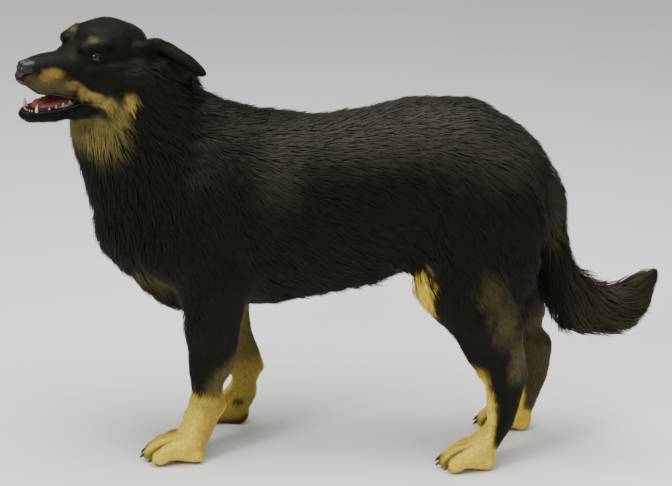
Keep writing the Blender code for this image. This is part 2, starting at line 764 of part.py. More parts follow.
def main():
    for old in list(bpy.data.objects):
        bpy.data.objects.remove(old)
    body = flesh()
    thin_out(body)
    floor = block(WORLD, (-1.0, -1.0, -0.1), (1.0, 1.0, 0.0))
    cut(body, floor(0.0), "DIFFERENCE")
    seat_small_parts(body)

    pieces = {}
    part_head(body, pieces)
    part_legs(body, pieces)
    part_trunk(body, pieces)
    add_small_parts(pieces)
    centre(pieces.values())
    for name, piece in pieces.items():
        piece.data.materials.clear()
        piece.data.materials.append(material(look_of(name)))


main()
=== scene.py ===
# %% [markdown]
# # A standing black-and-tan shepherd dog
#
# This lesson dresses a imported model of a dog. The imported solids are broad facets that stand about
# where the tips of the coat are. The dog that is seen follows them: one skin, most of it inside the
# solids, then eyes, nose, mouth, teeth and claws, then the coat itself as many thousands of thin
# tufts of solid mesh.

# %% The frame that everything is fitted to
import math

import bmesh
import bpy
import numpy as np
from mathutils import Matrix, Vector
from mathutils.bvhtree import BVHTree


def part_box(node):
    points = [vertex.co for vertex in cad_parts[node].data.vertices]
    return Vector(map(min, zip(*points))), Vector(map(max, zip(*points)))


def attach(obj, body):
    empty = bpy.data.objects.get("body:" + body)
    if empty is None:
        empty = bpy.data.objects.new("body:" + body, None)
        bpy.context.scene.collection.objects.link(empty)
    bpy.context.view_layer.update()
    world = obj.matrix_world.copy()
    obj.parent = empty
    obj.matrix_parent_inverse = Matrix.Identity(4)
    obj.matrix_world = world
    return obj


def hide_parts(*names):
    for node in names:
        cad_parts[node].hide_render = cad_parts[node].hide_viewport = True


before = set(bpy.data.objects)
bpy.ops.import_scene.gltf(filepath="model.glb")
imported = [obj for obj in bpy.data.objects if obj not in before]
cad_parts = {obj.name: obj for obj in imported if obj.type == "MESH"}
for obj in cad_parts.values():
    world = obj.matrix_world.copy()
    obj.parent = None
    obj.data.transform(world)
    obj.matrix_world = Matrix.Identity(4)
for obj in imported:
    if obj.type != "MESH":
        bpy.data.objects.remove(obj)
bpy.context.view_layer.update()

# %% [markdown]
# ## Camera
#
# A dog is pictured from about the height of a standing person's chest, so the camera looks down a
# little. A long lens from three metres away keeps the near and the far legs nearly the same size.
# The camera could be aimed with a constraint, but a plain rotation is easier to read back.

# %% Camera
CAMERA_PLACE = Vector((-0.0182, -3.2031, 1.5))
LOOK_DOWN = math.radians(19.42)
LEAN = math.radians(1.4)
LENS = 110.41

camera = bpy.data.objects.new("camera", bpy.data.cameras.new("camera"))
bpy.context.scene.collection.objects.link(camera)
camera.data.lens = LENS
camera.data.sensor_width = 36.0
camera.matrix_world = (
    Matrix.Translation(CAMERA_PLACE)
    @ Matrix.Rotation(math.radians(90.0) - LOOK_DOWN, 4, "X")
    @ Matrix.Rotation(LEAN, 4, "Z")
)
bpy.context.scene.camera = camera
print("camera at", tuple(round(value, 3) for value in CAMERA_PLACE))

# %% [markdown]
# ## Floor and light
#
# A black coat shows its form only by its sheen, so it needs large soft lights: a broad one above
# the back, a key from the front left and a weak fill. An image of a studio could light it too, but
# three lamps can be moved one by one. One large pale plane is the floor.

# %% Floor and light
FLOOR_COLOUR = (0.86, 0.86, 0.85)
FLOOR_REACH = 12.0
WARM_WHITE = (1.0, 0.98, 0.93)
SKY_STRENGTH = 0.42


def add_object(name, mesh):
    made = bpy.data.objects.new(name, mesh)
    bpy.context.scene.collection.objects.link(made)
    return made


def mesh_from(name, bm):
    mesh = bpy.data.meshes.new(name)
    bm.to_mesh(mesh)
    bm.free()
    return mesh


def set_inputs(node, values):
    for socket, value in values.items():
        node.inputs[socket].default_value = value


def start_material(name, roughness, colour=None):
    made = bpy.data.materials.new(name)
    made.use_nodes = True
    shader = made.node_tree.nodes["Principled BSDF"]
    set_inputs(shader, {"Roughness": roughness})
    if colour:
        set_inputs(shader, {"Base Color": (*colour, 1.0)})
    return made, shader


def add_area_light(name, place, target, size, power, colour=(1.0, 1.0, 1.0)):
    lamp = bpy.data.lights.new(name, "AREA")
    lamp.shape = "DISK"
    lamp.size = size
    lamp.energy = power
    lamp.color = colour
    holder = add_object(name, lamp)
    holder.location = place
    aim = Vector(target) - Vector(place)
    holder.rotation_euler = aim.to_track_quat("-Z", "Y").to_euler()


add_area_light("key", (-1.6, -2.2, 2.6), (0.0, 0.0, 0.4), 0.8, 70.0, WARM_WHITE)
add_area_light("top", (0.1, -0.2, 2.7), (0.0, 0.0, 0.5), 2.2, 120.0, WARM_WHITE)
add_area_light("fill", (2.2, -2.0, 1.2), (0.0, 0.0, 0.4), 1.6, 12.0)

world = bpy.data.worlds.new("studio")
world.use_nodes = True
sky = {"Color": (1.0, 1.0, 1.0, 1.0), "Strength": SKY_STRENGTH}
set_inputs(world.node_tree.nodes["Background"], sky)
bpy.context.scene.world = world

floor_bm = bmesh.new()
bmesh.ops.create_grid(floor_bm, x_segments=1, y_segments=1, size=FLOOR_REACH)
floor = add_object("floor", mesh_from("floor", floor_bm))
floor_paint, _ = start_material("floor_paint", 0.9, FLOOR_COLOUR)
floor.data.materials.append(floor_paint)
print("lamps:", len(bpy.data.lights), "floor:", 2.0 * FLOOR_REACH, "m wide")

# %% [markdown]
# ## The head's own axes
#
# The head is turned, lifted and tipped, so its parts are placed in the head's own axes: X to the
# nose, Y to the dog's left, Z up, with the origin between the eyes. The angles are the pose. Parts
# could be modelled straight ahead and turned at the end, but then the neck would not meet them. The
# origin comes from the two eye solids, so the head always sits where the frame has it.

# %% The head's axes
HEAD_YAW = 48.5
HEAD_PITCH = 9.4
HEAD_ROLL = 9.9
JAW_OPEN = 14.5
EYE_PLACE = Vector((-0.0072, 0.0300, -0.0010))
JAW_HINGE = Vector((-0.075, 0.0, -0.042))


def middle(node):
    low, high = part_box(node)
    return 0.5 * (Vector(low) + Vector(high))


head_turn = (
    Matrix.Rotation(math.radians(180.0 + HEAD_YAW), 4, "Z")
    @ Matrix.Rotation(math.radians(-HEAD_PITCH), 4, "Y")
    @ Matrix.Rotation(math.radians(-HEAD_ROLL), 4, "X")
)
between_eyes = 0.5 * (middle("eye_left") + middle("eye_right"))
head_axes = (
    Matrix.Translation(between_eyes)
    @ head_turn
    @ Matrix.Translation((-EYE_PLACE.x, 0.0, -EYE_PLACE.z))
)
jaw_axes = (
    head_axes
    @ Matrix.Translation(JAW_HINGE)
    @ Matrix.Rotation(math.radians(JAW_OPEN), 4, "Y")
    @ Matrix.Translation(-JAW_HINGE)
)
MIDDLE_Y = middle("chest").y
print("between the eyes:", tuple(round(value, 4) for value in head_axes.translation))

# %% [markdown]
# ## Small helpers for meshes
#
# Numbers move in and out of a mesh fastest as whole arrays; a loop over hundreds of thousands of
# points would take minutes. These helpers read and write places and normals, apply modifiers, fuse
# closed bodies into one, and turn points between the world and another set of axes.

# %% Mesh helpers
def settle(thing):
    """Applies the modifiers of an object."""
    graph = bpy.context.evaluated_depsgraph_get()
    mesh = bpy.data.meshes.new_from_object(thing.evaluated_get(graph))
    thing.modifiers.clear()
    thing.data = mesh


def remesh(thing, grain):
    """Fuses an object's closed bodies into one closed skin of small squares."""
    fuse = thing.modifiers.new("fuse", "REMESH")
    fuse.mode = "VOXEL"
    fuse.voxel_size = grain
    settle(thing)


def triangles_of(mesh):
    """The points and the loops at the corners of each triangle of a mesh."""
    mesh.calc_loop_triangles()
    points = np.empty(len(mesh.loop_triangles) * 3, dtype=int)
    loops = np.empty_like(points)
    mesh.loop_triangles.foreach_get("vertices", points)
    mesh.loop_triangles.foreach_get("loops", loops)
    return points.reshape(-1, 3), loops.reshape(-1, 3)


def places_of(mesh):
    flat = np.empty(len(mesh.vertices) * 3)
    mesh.vertices.foreach_get("co", flat)
    return flat.reshape(-1, 3)


def set_places(mesh, places):
    mesh.vertices.foreach_set("co", np.ascontiguousarray(places, dtype=np.float32).ravel())
    mesh.update()


def normals_of(mesh):
    flat = np.empty(len(mesh.vertices) * 3)
    mesh.vertex_normals.foreach_get("vector", flat)
    return flat.reshape(-1, 3)


def into(axes, places):
    """Places in the world, given in a set of axes."""
    back = np.array(axes.inverted())
    return places @ back[:3, :3].T + back[:3, 3]


def out_of(axes, directions):
    """Directions in a set of axes, given in the world."""
    return directions @ np.array(axes)[:3, :3].T


def unit(vectors):
    return vectors / np.maximum(np.linalg.norm(vectors, axis=1), 1e-12)[:, None]


def on_one_side(places):
    """Places with the right side laid over the left."""
    return np.column_stack([places[:, 0], np.abs(places[:, 1]), places[:, 2]])


def soft_step(low, high, value):
    """Rises softly from 0 at low to 1 at high."""
    ramp = np.clip((value - low) / (high - low), 0.0, 1.0)
    return ramp * ramp * (3.0 - 2.0 * ramp)


def fall(low, high, value):
    """Falls softly from 1 at low to 0 at high."""
    return 1.0 - soft_step(low, high, value)


def ripple(places, grain, seed, count=6):
    """A smooth random field between about -1 and 1, whose waves are about one grain long."""
    dice = np.random.default_rng(seed)
    total = np.zeros(len(places))
    for _ in range(count):
        wave = dice.normal(size=3)
        wave *= 2.0 * math.pi / (grain * np.linalg.norm(wave)) * dice.uniform(0.7, 1.4)
        total += np.sin(places @ wave + dice.uniform(0.0, 2.0 * math.pi))
    return total / math.sqrt(count)


print("a soft step halfway:", float(soft_step(0.0, 1.0, 0.5)))

# %% [markdown]
# ## Beads
#
# A head is a set of rounded masses: brain case, brow, muzzle, cheek, lips. Each is laid up here as
# ellipsoid beads, and two neighbours are wrapped in a convex hull, like clay pressed over two
# pebbles. Lofted rings could do the same, but hulls never twist or fold.

# %% Beads and their hulls
def add_bead(bm, centre, radii, axes, detail):
    shape = axes @ Matrix.Translation(centre) @ Matrix.Diagonal((*radii, 1.0))
    bmesh.ops.create_icosphere(bm, subdivisions=detail, radius=1.0, matrix=shape)


def wrap_beads(bm, beads, axes, detail=3):
    """Adds to bm one hull for each two neighbouring beads."""
    for first, second in zip(beads, beads[1:]):
        part = bmesh.new()
        add_bead(part, *first, axes, detail)
        add_bead(part, *second, axes, detail)
        bmesh.ops.delete(part, geom=part.edges[:] + part.faces[:], context="EDGES_FACES")
        hull = bmesh.ops.convex_hull(part, input=part.verts)
        inside = hull["geom_interior"] + hull["geom_unused"]
        spare = {item for item in inside if isinstance(item, bmesh.types.BMVert)}
        bmesh.ops.delete(part, geom=list(spare), context="VERTS")
        shell = mesh_from("hull", part)
        bm.from_mesh(shell)
        bpy.data.meshes.remove(shell)

# %% [markdown]
# ## The masses of the head
#
# The skull, muscles and folds are laid out like clay on an armature, in metres from the point
# between the eyes. One ball could be sculpted into a head instead, but named masses can be moved one
# at a time. The ears of this dog are folded flaps, held out sideways and back: each has a front and
# a back edge, and the edges meet at the tip. The right one lies lower.

# %% The masses of the head
LEFT = 1.0
RIGHT = -1.0
EAR_DROOP = {LEFT: 0.0, RIGHT: 1.0}


def ear_edges(side):
    droop = EAR_DROOP[side]
    tip = (-0.155, side * (0.125 - 0.030 * droop), 0.004 - 0.046 * droop)
    front = [
        ((-0.080, side * 0.046, 0.016), (0.021, 0.012, 0.015)),
        ((-0.108, side * (0.072 - 0.002 * droop), 0.031 - 0.014 * droop), (0.019, 0.008, 0.009)),
        ((-0.133, side * (0.101 - 0.014 * droop), 0.018 - 0.034 * droop), (0.018, 0.007, 0.009)),
        (tip, (0.006, 0.005, 0.006)),
    ]
    back = [
        ((-0.098, side * 0.050, -0.012), (0.019, 0.010, 0.019)),
        ((-0.122, side * (0.075 - 0.004 * droop), 0.003 - 0.014 * droop), (0.012, 0.006, 0.023)),
        ((-0.143, side * (0.103 - 0.016 * droop), 0.008 - 0.034 * droop), (0.009, 0.005, 0.017)),
        (tip, (0.006, 0.005, 0.006)),
    ]
    return front, back


HEAD_MASSES = {
    "case": [
        ((-0.092, 0.0, -0.002), (0.046, 0.048, 0.047)),
        ((-0.058, 0.0, 0.004), (0.050, 0.053, 0.048)),
        ((-0.024, 0.0, 0.006), (0.034, 0.044, 0.039)),
    ],
    "muzzle": [
        ((-0.022, 0.0, -0.004), (0.034, 0.042, 0.036)),
        ((0.020, 0.0, -0.030), (0.028, 0.033, 0.028)),
        ((0.062, 0.0, -0.033), (0.028, 0.0265, 0.0265)),
        ((0.089, 0.0, -0.035), (0.021, 0.0185, 0.0235)),
    ],
    "ruff": [
        ((-0.066, 0.0, -0.050), (0.052, 0.060, 0.050)),
        ((-0.100, 0.0, -0.060), (0.058, 0.066, 0.062)),
    ],
    "folded_ruff": [
        ((-0.062, 0.048, -0.064), (0.030, 0.022, 0.032)),
        ((-0.066, 0.046, -0.100), (0.030, 0.024, 0.034)),
    ],
    "under_ear": [
        ((-0.092, 0.060, -0.030), (0.024, 0.022, 0.024)),
        ((-0.112, 0.074, -0.034), (0.026, 0.020, 0.024)),
    ],
}
PAIRED_MASSES = {
    "brow": [
        ((-0.022, 0.030, 0.020), (0.021, 0.016, 0.013)),
        ((0.008, 0.023, 0.011), (0.015, 0.013, 0.0115)),
    ],
    "cheek": [
        ((-0.078, 0.038, -0.024), (0.032, 0.028, 0.036)),
        ((-0.046, 0.040, -0.034), (0.036, 0.025, 0.034)),
        ((-0.006, 0.030, -0.034), (0.026, 0.019, 0.024)),
    ],
    "chops": [
        ((-0.048, 0.034, -0.060), (0.034, 0.022, 0.030)),
        ((-0.004, 0.028, -0.060), (0.026, 0.016, 0.020)),
        ((0.046, 0.021, -0.053), (0.024, 0.012, 0.0145)),
        ((0.078, 0.0195, -0.0535), (0.018, 0.0115, 0.0140)),
        ((0.092, 0.0120, -0.0465), (0.017, 0.0105, 0.0130)),
    ],
}
JAW_MASSES = {
    "branch": [
        ((-0.050, 0.030, -0.074), (0.034, 0.018, 0.026)),
        ((-0.004, 0.027, -0.074), (0.026, 0.013, 0.018)),
        ((0.042, 0.018, -0.073), (0.022, 0.011, 0.0130)),
        ((0.086, 0.008, -0.068), (0.015, 0.0095, 0.0110)),
    ],
    "mouth_floor": [
        ((-0.060, 0.0, -0.088), (0.036, 0.034, 0.024)),
        ((-0.010, 0.0, -0.085), (0.026, 0.027, 0.013)),
        ((0.036, 0.0, -0.080), (0.022, 0.018, 0.0095)),
        ((0.084, 0.0, -0.072), (0.014, 0.011, 0.0090)),
    ],
}


def other_side(beads):
    return [((centre[0], -centre[1], centre[2]), radii) for centre, radii in beads]


def head_shell():
    """The masses of the head, jaw and ears, each still its own closed body."""
    bm = bmesh.new()
    for beads in HEAD_MASSES.values():
        wrap_beads(bm, beads, head_axes)
    for beads in PAIRED_MASSES.values():
        wrap_beads(bm, beads, head_axes)
        wrap_beads(bm, other_side(beads), head_axes)
    for beads in JAW_MASSES.values():
        wrap_beads(bm, beads, jaw_axes)
        wrap_beads(bm, other_side(beads), jaw_axes)
    for side in EAR_DROOP:
        for edge in ear_edges(side):
            wrap_beads(bm, edge, head_axes, detail=2)
    return mesh_from("head_masses", bm)


head_masses = head_shell()
print("head masses:", len(head_masses.polygons), "faces")

# %% [markdown]
# ## The paws
#
# A dog stands on four toes a foot, and the two middle ones reach furthest. Grooves could be cut into
# one block, but here each toe is beads for its knuckle and its ball, which leave the grooves between
# them. The solids' own toes are pulled in under these.

# %% The paws' places
FORE_PAW = (0.112, 0.077)
HIND_PAW = (0.099, 0.071)
TOE_PLACES = (-1.5, -0.5, 0.5, 1.5)
OUTER_TOE = 0.86
PAWS = {
    # heel x, heel y from the middle, splay, (length, width)
    "paw_front_left": (-0.2212, -0.080, 0.5, FORE_PAW),
    "paw_front_right": (-0.1612, 0.080, -3.0, FORE_PAW),
    "paw_hind_left": (0.2608, -0.082, 1.0, HIND_PAW),
    "paw_hind_right": (0.3338, 0.082, -3.0, HIND_PAW),
}


def paw_axes(name):
    heel, across, splay, _ = PAWS[name]
    place = Matrix.Translation((heel, MIDDLE_Y + across, 0.0))
    return place @ Matrix.Rotation(math.radians(splay), 4, "Z")


def toes(name):
    """The beads of each toe of a paw, in the paw's own axes."""
    length, width = PAWS[name][3]
    made = []
    for place in TOE_PLACES:
        reach = length * (1.0 if abs(place) < 1.0 else OUTER_TOE)
        across = place * width / 4.0
        made.append([
            ((-0.44 * length, 0.80 * across, 0.031), (0.018, 0.0120, 0.018)),
            ((-reach + 0.032, 0.97 * across, 0.0280), (0.0150, 0.0104, 0.0165)),
            ((-reach + 0.0135, across, 0.0140), (0.0135, 0.0100, 0.0140)),
        ])
    return made


print("toes:", sum(len(toes(name)) for name in PAWS))

# %% [markdown]
# ## One skin
#
# The body's solids are copied, merged and swelled by a hair's breadth, so that the thin gaps
# between them close. The solids of the head and ears are pulled in where the smoother masses above
# stand for them, and meet the neck where they are cut from it. A voxel remesh then fuses all of it
# into one closed skin, and smoothing melts the facets away.

# %% Which places are head and ear
def near_line(places, beads, reach):
    """How near places are to a line of beads, as a number that falls from 1 to 0 over reach."""
    nearest = np.full(len(places), 9.0)
    for (first, _), (second, _) in zip(beads, beads[1:]):
        start = np.array(first)
        along = np.array(second) - start
        share = np.clip((places - start) @ along / (along @ along), 0.0, 1.0)
        nearest = np.minimum(nearest, np.linalg.norm(places - start - share[:, None] * along, axis=1))
    return fall(0.6 * reach, reach, nearest)


def ear_share(places):
    """1 on the ear flaps, 0 away from them."""
    local = into(head_axes, places)
    share = np.zeros(len(places))
    for side in EAR_DROOP:
        for edge in ear_edges(side):
            share = np.maximum(share, near_line(local, edge[1:], 0.030))
    return share


def head_share(places):
    """1 on the face, falling to 0 over the back of the skull and the throat."""
    local = into(head_axes, places)
    back = soft_step(-0.125, -0.085, local[:, 0] + 0.25 * (local[:, 2] + 0.05))
    return back * soft_step(-0.150, -0.115, local[:, 2]) * soft_step(0.50, 0.55, places[:, 2])

# %% How far the solids are pulled in
HEAD_NODES = ("head", "lower_jaw", "ear_left", "ear_right")
NOT_FLESH = ("eye_left", "eye_right", "nose", "tongue")
BODY_NODES = [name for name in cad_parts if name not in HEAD_NODES + NOT_FLESH]
GAP_CLOSER = 0.0006
SAME_PLACE = 0.00001
HEAD_PULL = 0.007
EAR_PULL = 0.004
TOE_PULL = 0.005
NECK_CUT = np.array((-0.105, 0.0, -0.068))  # a place on the cut between head and neck, in head axes
CUT_WAY = np.array((0.74, 0.0, 0.67))


def pull_of(node, places):
    """How far the points of a solid are pulled in before the skin is fused."""
    if node in PAWS:
        length = PAWS[node][3][0]
        return TOE_PULL * soft_step(0.40, 0.62, -into(paw_axes(node), places)[:, 0] / length)
    if node in BODY_NODES:
        return np.zeros(len(places))
    if node.startswith("ear"):
        return EAR_PULL * ear_share(places)
    local = into(head_axes, places)
    ahead = (local - NECK_CUT) @ CUT_WAY
    on_ruff = soft_step(0.048, 0.058, np.abs(local[:, 1])) * (local[:, 0] < -0.020)
    return HEAD_PULL * soft_step(0.004, 0.030, ahead) * (1.0 - on_ruff)


def merged_copy(node):
    """A copy of a solid, its doubled points merged, swelled a little and pulled in on the head."""
    bm = bmesh.new()
    bm.from_mesh(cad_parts[node].data)
    bmesh.ops.remove_doubles(bm, verts=bm.verts, dist=SAME_PLACE)
    bm.normal_update()
    pulls = pull_of(node, np.array([vertex.co[:] for vertex in bm.verts]))
    for vertex, pull in zip(bm.verts, pulls.tolist()):
        vertex.co += (GAP_CLOSER - pull) * vertex.normal
    return mesh_from(node + "_copy", bm)


print("body solids:", len(BODY_NODES))

# %% One skin
SKIN_GRAIN = 0.0023
gathered = bmesh.new()
gathered.from_mesh(head_masses)
for name in BODY_NODES + list(HEAD_NODES):
    gathered.from_mesh(merged_copy(name))
for name in PAWS:
    for beads in toes(name):
        wrap_beads(gathered, beads, paw_axes(name), detail=2)
skin = add_object("skin", mesh_from("skin", gathered))
remesh(skin, SKIN_GRAIN)
print("fused skin:", len(skin.data.vertices), "points")

# %% Melting the facets
def smooth_by(thing, weights, factor, rounds):
    """Smooths an object's mesh, by a weight for each point."""
    group = thing.vertex_groups.new(name="melt")
    steps = np.round(np.clip(weights, 0.0, 1.0) * 10.0).astype(int)
    for step in range(1, 11):
        group.add(np.flatnonzero(steps == step).tolist(), step / 10.0, "REPLACE")
    melt = thing.modifiers.new("melt", "SMOOTH")
    melt.factor = factor
    melt.iterations = rounds
    melt.vertex_group = "melt"
    settle(thing)
    thing.vertex_groups.clear()


places = places_of(skin.data)
on_ear = ear_share(places)
on_head = head_share(places)
low_leg = fall(0.10, 0.24, places[:, 2])
MELT_FACTOR = 0.6
MELT_ROUNDS = 30
melt_weights = np.clip(1.0 - 0.75 * on_head - 0.8 * low_leg - on_ear, 0.12, 1.0)
smooth_by(skin, melt_weights, MELT_FACTOR, MELT_ROUNDS)
print("head points:", int((on_head > 0.5).sum()))

# %% [markdown]
# ## Small swells and hollows
#
# Flesh is not as even as broad facets: a forearm narrows behind, a hock is hollow above the heel,
# and a tail bends. A grab brush would do this by hand. Here each row gives a place, how far about it
# the touch reaches and how the skin moves there, by 2 to 18 mm, because a table can be read, tried
# and changed row by row. Some rows move the skin in and some move it out past the solids.

# %% Small swells and hollows
TOUCHES = (
    # place, reach, shift
    ((-0.152, 0.095, 0.185), (0.040, 0.055, 0.075), (-0.012, 0.0, 0.0)),  # right forearm
    ((-0.150, 0.095, 0.050), (0.030, 0.050, 0.035), (0.008, 0.0, 0.0)),
    ((-0.204, 0.095, 0.074), (0.034, 0.045, 0.040), (0.018, 0.0, 0.0)),
    ((-0.182, -0.060, 0.133), (0.032, 0.055, 0.042), (-0.015, 0.0, 0.0)),  # left foreleg
    ((-0.262, -0.060, 0.190), (0.030, 0.060, 0.080), (-0.005, 0.0, 0.0)),
    ((-0.263, -0.060, 0.090), (0.025, 0.050, 0.035), (0.002, 0.0, 0.0)),
    ((-0.224, -0.060, 0.018), (0.020, 0.040, 0.022), (-0.006, 0.0, 0.0)),
    ((0.085, -0.030, 0.330), (0.035, 0.060, 0.030), (0.0, 0.0, 0.007)),  # tuck and left hind leg
    ((0.106, -0.080, 0.322), (0.020, 0.050, 0.034), (-0.007, 0.0, 0.0)),
    ((0.172, -0.070, 0.232), (0.050, 0.050, 0.060), (0.006, 0.0, 0.002)),
    ((0.228, -0.070, 0.155), (0.020, 0.040, 0.030), (-0.004, 0.0, 0.0)),
    ((0.224, -0.060, 0.080), (0.026, 0.045, 0.034), (0.012, 0.0, 0.0)),
    ((0.138, -0.075, 0.280), (0.035, 0.050, 0.035), (0.006, 0.0, 0.0)),
    ((0.353, 0.095, 0.134), (0.024, 0.050, 0.060), (0.004, 0.0, 0.0)),  # right hind leg
    ((0.342, 0.085, 0.190), (0.034, 0.050, 0.032), (-0.018, 0.0, 0.0)),
    ((0.365, 0.020, 0.228), (0.030, 0.045, 0.030), (-0.010, 0.0, -0.008)),  # tail
    ((0.384, 0.020, 0.353), (0.038, 0.050, 0.055), (-0.008, 0.0, -0.007)),
    ((0.448, 0.020, 0.307), (0.040, 0.050, 0.024), (0.0, 0.0, -0.005)),
    ((0.502, 0.020, 0.325), (0.026, 0.050, 0.026), (0.002, 0.0, 0.007)),
    ((0.520, 0.020, 0.292), (0.024, 0.050, 0.026), (-0.006, 0.0, 0.0)),
    ((-0.208, 0.020, 0.613), (0.080, 0.070, 0.040), (0.0, 0.0, -0.005)),  # withers and neck
    ((-0.461, 0.020, 0.530), (0.035, 0.080, 0.055), (-0.006, 0.0, 0.0)),
    ((-0.312, -0.040, 0.716), (0.024, 0.024, 0.020), (0.003, 0.0, 0.006)),
)
places = places_of(skin.data)
moved = places.copy()
for place, reach, shift in TOUCHES:
    away = np.linalg.norm((places - np.array(place)) / np.array(reach), axis=1)
    moved += fall(0.2, 1.0, away)[:, None] * np.array(shift)
set_places(skin.data, moved)
print("touched up:", int((np.linalg.norm(moved - places, axis=1) > 0.001).sum()), "points")

# %% [markdown]
# ## The lie of the coat
#
# Hair lies in streams: back from the nose over the skull, down the neck, along the ribs, down the
# legs and out along the tail. Each stream is named here with its place, its reach, how deep the
# coat stands there, how long its hairs are and which way they point. Between two streams the
# values blend. Combing guide hairs by hand would do, but a table gives the same lie each time. The
# dog's two sides share one table, so Y is the distance from its middle, and the right legs, which
# stand further back, are first slid onto the left ones.

# %% Streams of the body coat
BODY_COAT = {
    # place, reach, depth, length, direction
    "withers": ((-0.13, 0.00, 0.58), 0.10, 0.012, 0.028, (1.0, 0.0, -0.15)),
    "back": ((0.03, 0.00, 0.58), 0.10, 0.011, 0.026, (1.0, 0.0, -0.05)),
    "loin": ((0.16, 0.00, 0.61), 0.10, 0.011, 0.026, (1.0, 0.0, -0.10)),
    "rump": ((0.27, 0.00, 0.56), 0.09, 0.012, 0.030, (0.75, 0.0, -0.65)),
    "ribs": ((-0.04, 0.13, 0.45), 0.11, 0.010, 0.026, (0.92, 0.0, -0.38)),
    "flank": ((0.10, 0.12, 0.45), 0.10, 0.010, 0.026, (0.85, 0.0, -0.52)),
    "low_ribs": ((-0.04, 0.10, 0.34), 0.09, 0.012, 0.030, (0.85, 0.0, -0.52)),
    "belly": ((0.02, 0.00, 0.28), 0.09, 0.015, 0.034, (0.85, 0.0, -0.50)),
    "tuck": ((0.13, 0.04, 0.33), 0.07, 0.012, 0.030, (0.75, 0.0, -0.65)),
    "shoulder": ((-0.23, 0.12, 0.46), 0.09, 0.011, 0.026, (0.55, 0.0, -0.83)),
    "upper_arm": ((-0.25, 0.12, 0.36), 0.07, 0.009, 0.022, (0.45, 0.0, -0.90)),
    "nape": ((-0.28, 0.00, 0.64), 0.08, 0.013, 0.034, (0.85, 0.0, -0.50)),
    "neck_side": ((-0.33, 0.10, 0.58), 0.08, 0.014, 0.034, (0.60, 0.0, -0.80)),
    "neck_low": ((-0.36, 0.10, 0.48), 0.09, 0.014, 0.034, (0.40, 0.0, -0.92)),
    "neck_front": ((-0.43, 0.00, 0.50), 0.08, 0.013, 0.034, (0.15, 0.0, -1.00)),
    "breast": ((-0.39, 0.00, 0.39), 0.09, 0.013, 0.034, (0.35, 0.0, -0.94)),
    "brisket": ((-0.29, 0.00, 0.28), 0.08, 0.012, 0.032, (0.75, 0.0, -0.66)),
    "elbow": ((-0.20, 0.10, 0.30), 0.05, 0.007, 0.020, (0.30, 0.0, -0.95)),
    "forearm": ((-0.23, 0.08, 0.20), 0.05, 0.0045, 0.014, (0.05, 0.0, -1.00)),
    "forearm_back": ((-0.18, 0.08, 0.21), 0.04, 0.006, 0.020, (0.45, 0.0, -0.90)),
    "wrist": ((-0.23, 0.08, 0.12), 0.045, 0.0030, 0.010, (0.00, 0.0, -1.00)),
    "fore_pastern": ((-0.25, 0.08, 0.07), 0.035, 0.0026, 0.008, (-0.35, 0.0, -0.94)),
    "fore_paw": ((-0.30, 0.08, 0.03), 0.045, 0.0022, 0.0065, (-0.90, 0.0, -0.45)),
    "thigh": ((0.20, 0.12, 0.42), 0.09, 0.010, 0.026, (0.55, 0.0, -0.83)),
    "stifle": ((0.15, 0.11, 0.32), 0.06, 0.008, 0.022, (0.35, 0.0, -0.93)),
    "breeches": ((0.31, 0.07, 0.38), 0.07, 0.014, 0.038, (0.35, 0.0, -0.93)),
    "shank": ((0.22, 0.09, 0.24), 0.05, 0.0055, 0.017, (0.50, 0.0, -0.86)),
    "shank_back": ((0.29, 0.08, 0.22), 0.04, 0.007, 0.022, (0.25, 0.0, -0.97)),
    "hock": ((0.27, 0.08, 0.15), 0.04, 0.0035, 0.011, (0.10, 0.0, -1.00)),
    "hind_pastern": ((0.26, 0.08, 0.08), 0.04, 0.0028, 0.009, (-0.10, 0.0, -1.00)),
    "hind_paw": ((0.20, 0.08, 0.03), 0.045, 0.0022, 0.0065, (-0.90, 0.0, -0.45)),
    "tail_root": ((0.31, 0.00, 0.48), 0.06, 0.011, 0.038, (0.35, 0.0, -0.93)),
    "tail_fall": ((0.335, 0.00, 0.38), 0.06, 0.012, 0.045, (0.22, 0.0, -0.97)),
    "tail_bend": ((0.365, 0.00, 0.29), 0.05, 0.014, 0.050, (0.55, 0.0, -0.83)),
    "tail_low": ((0.42, 0.00, 0.25), 0.05, 0.015, 0.052, (1.00, 0.0, -0.08)),
    "tail_end": ((0.49, 0.00, 0.28), 0.05, 0.0105, 0.050, (0.85, 0.0, 0.52)),
}
print("body streams:", len(BODY_COAT))

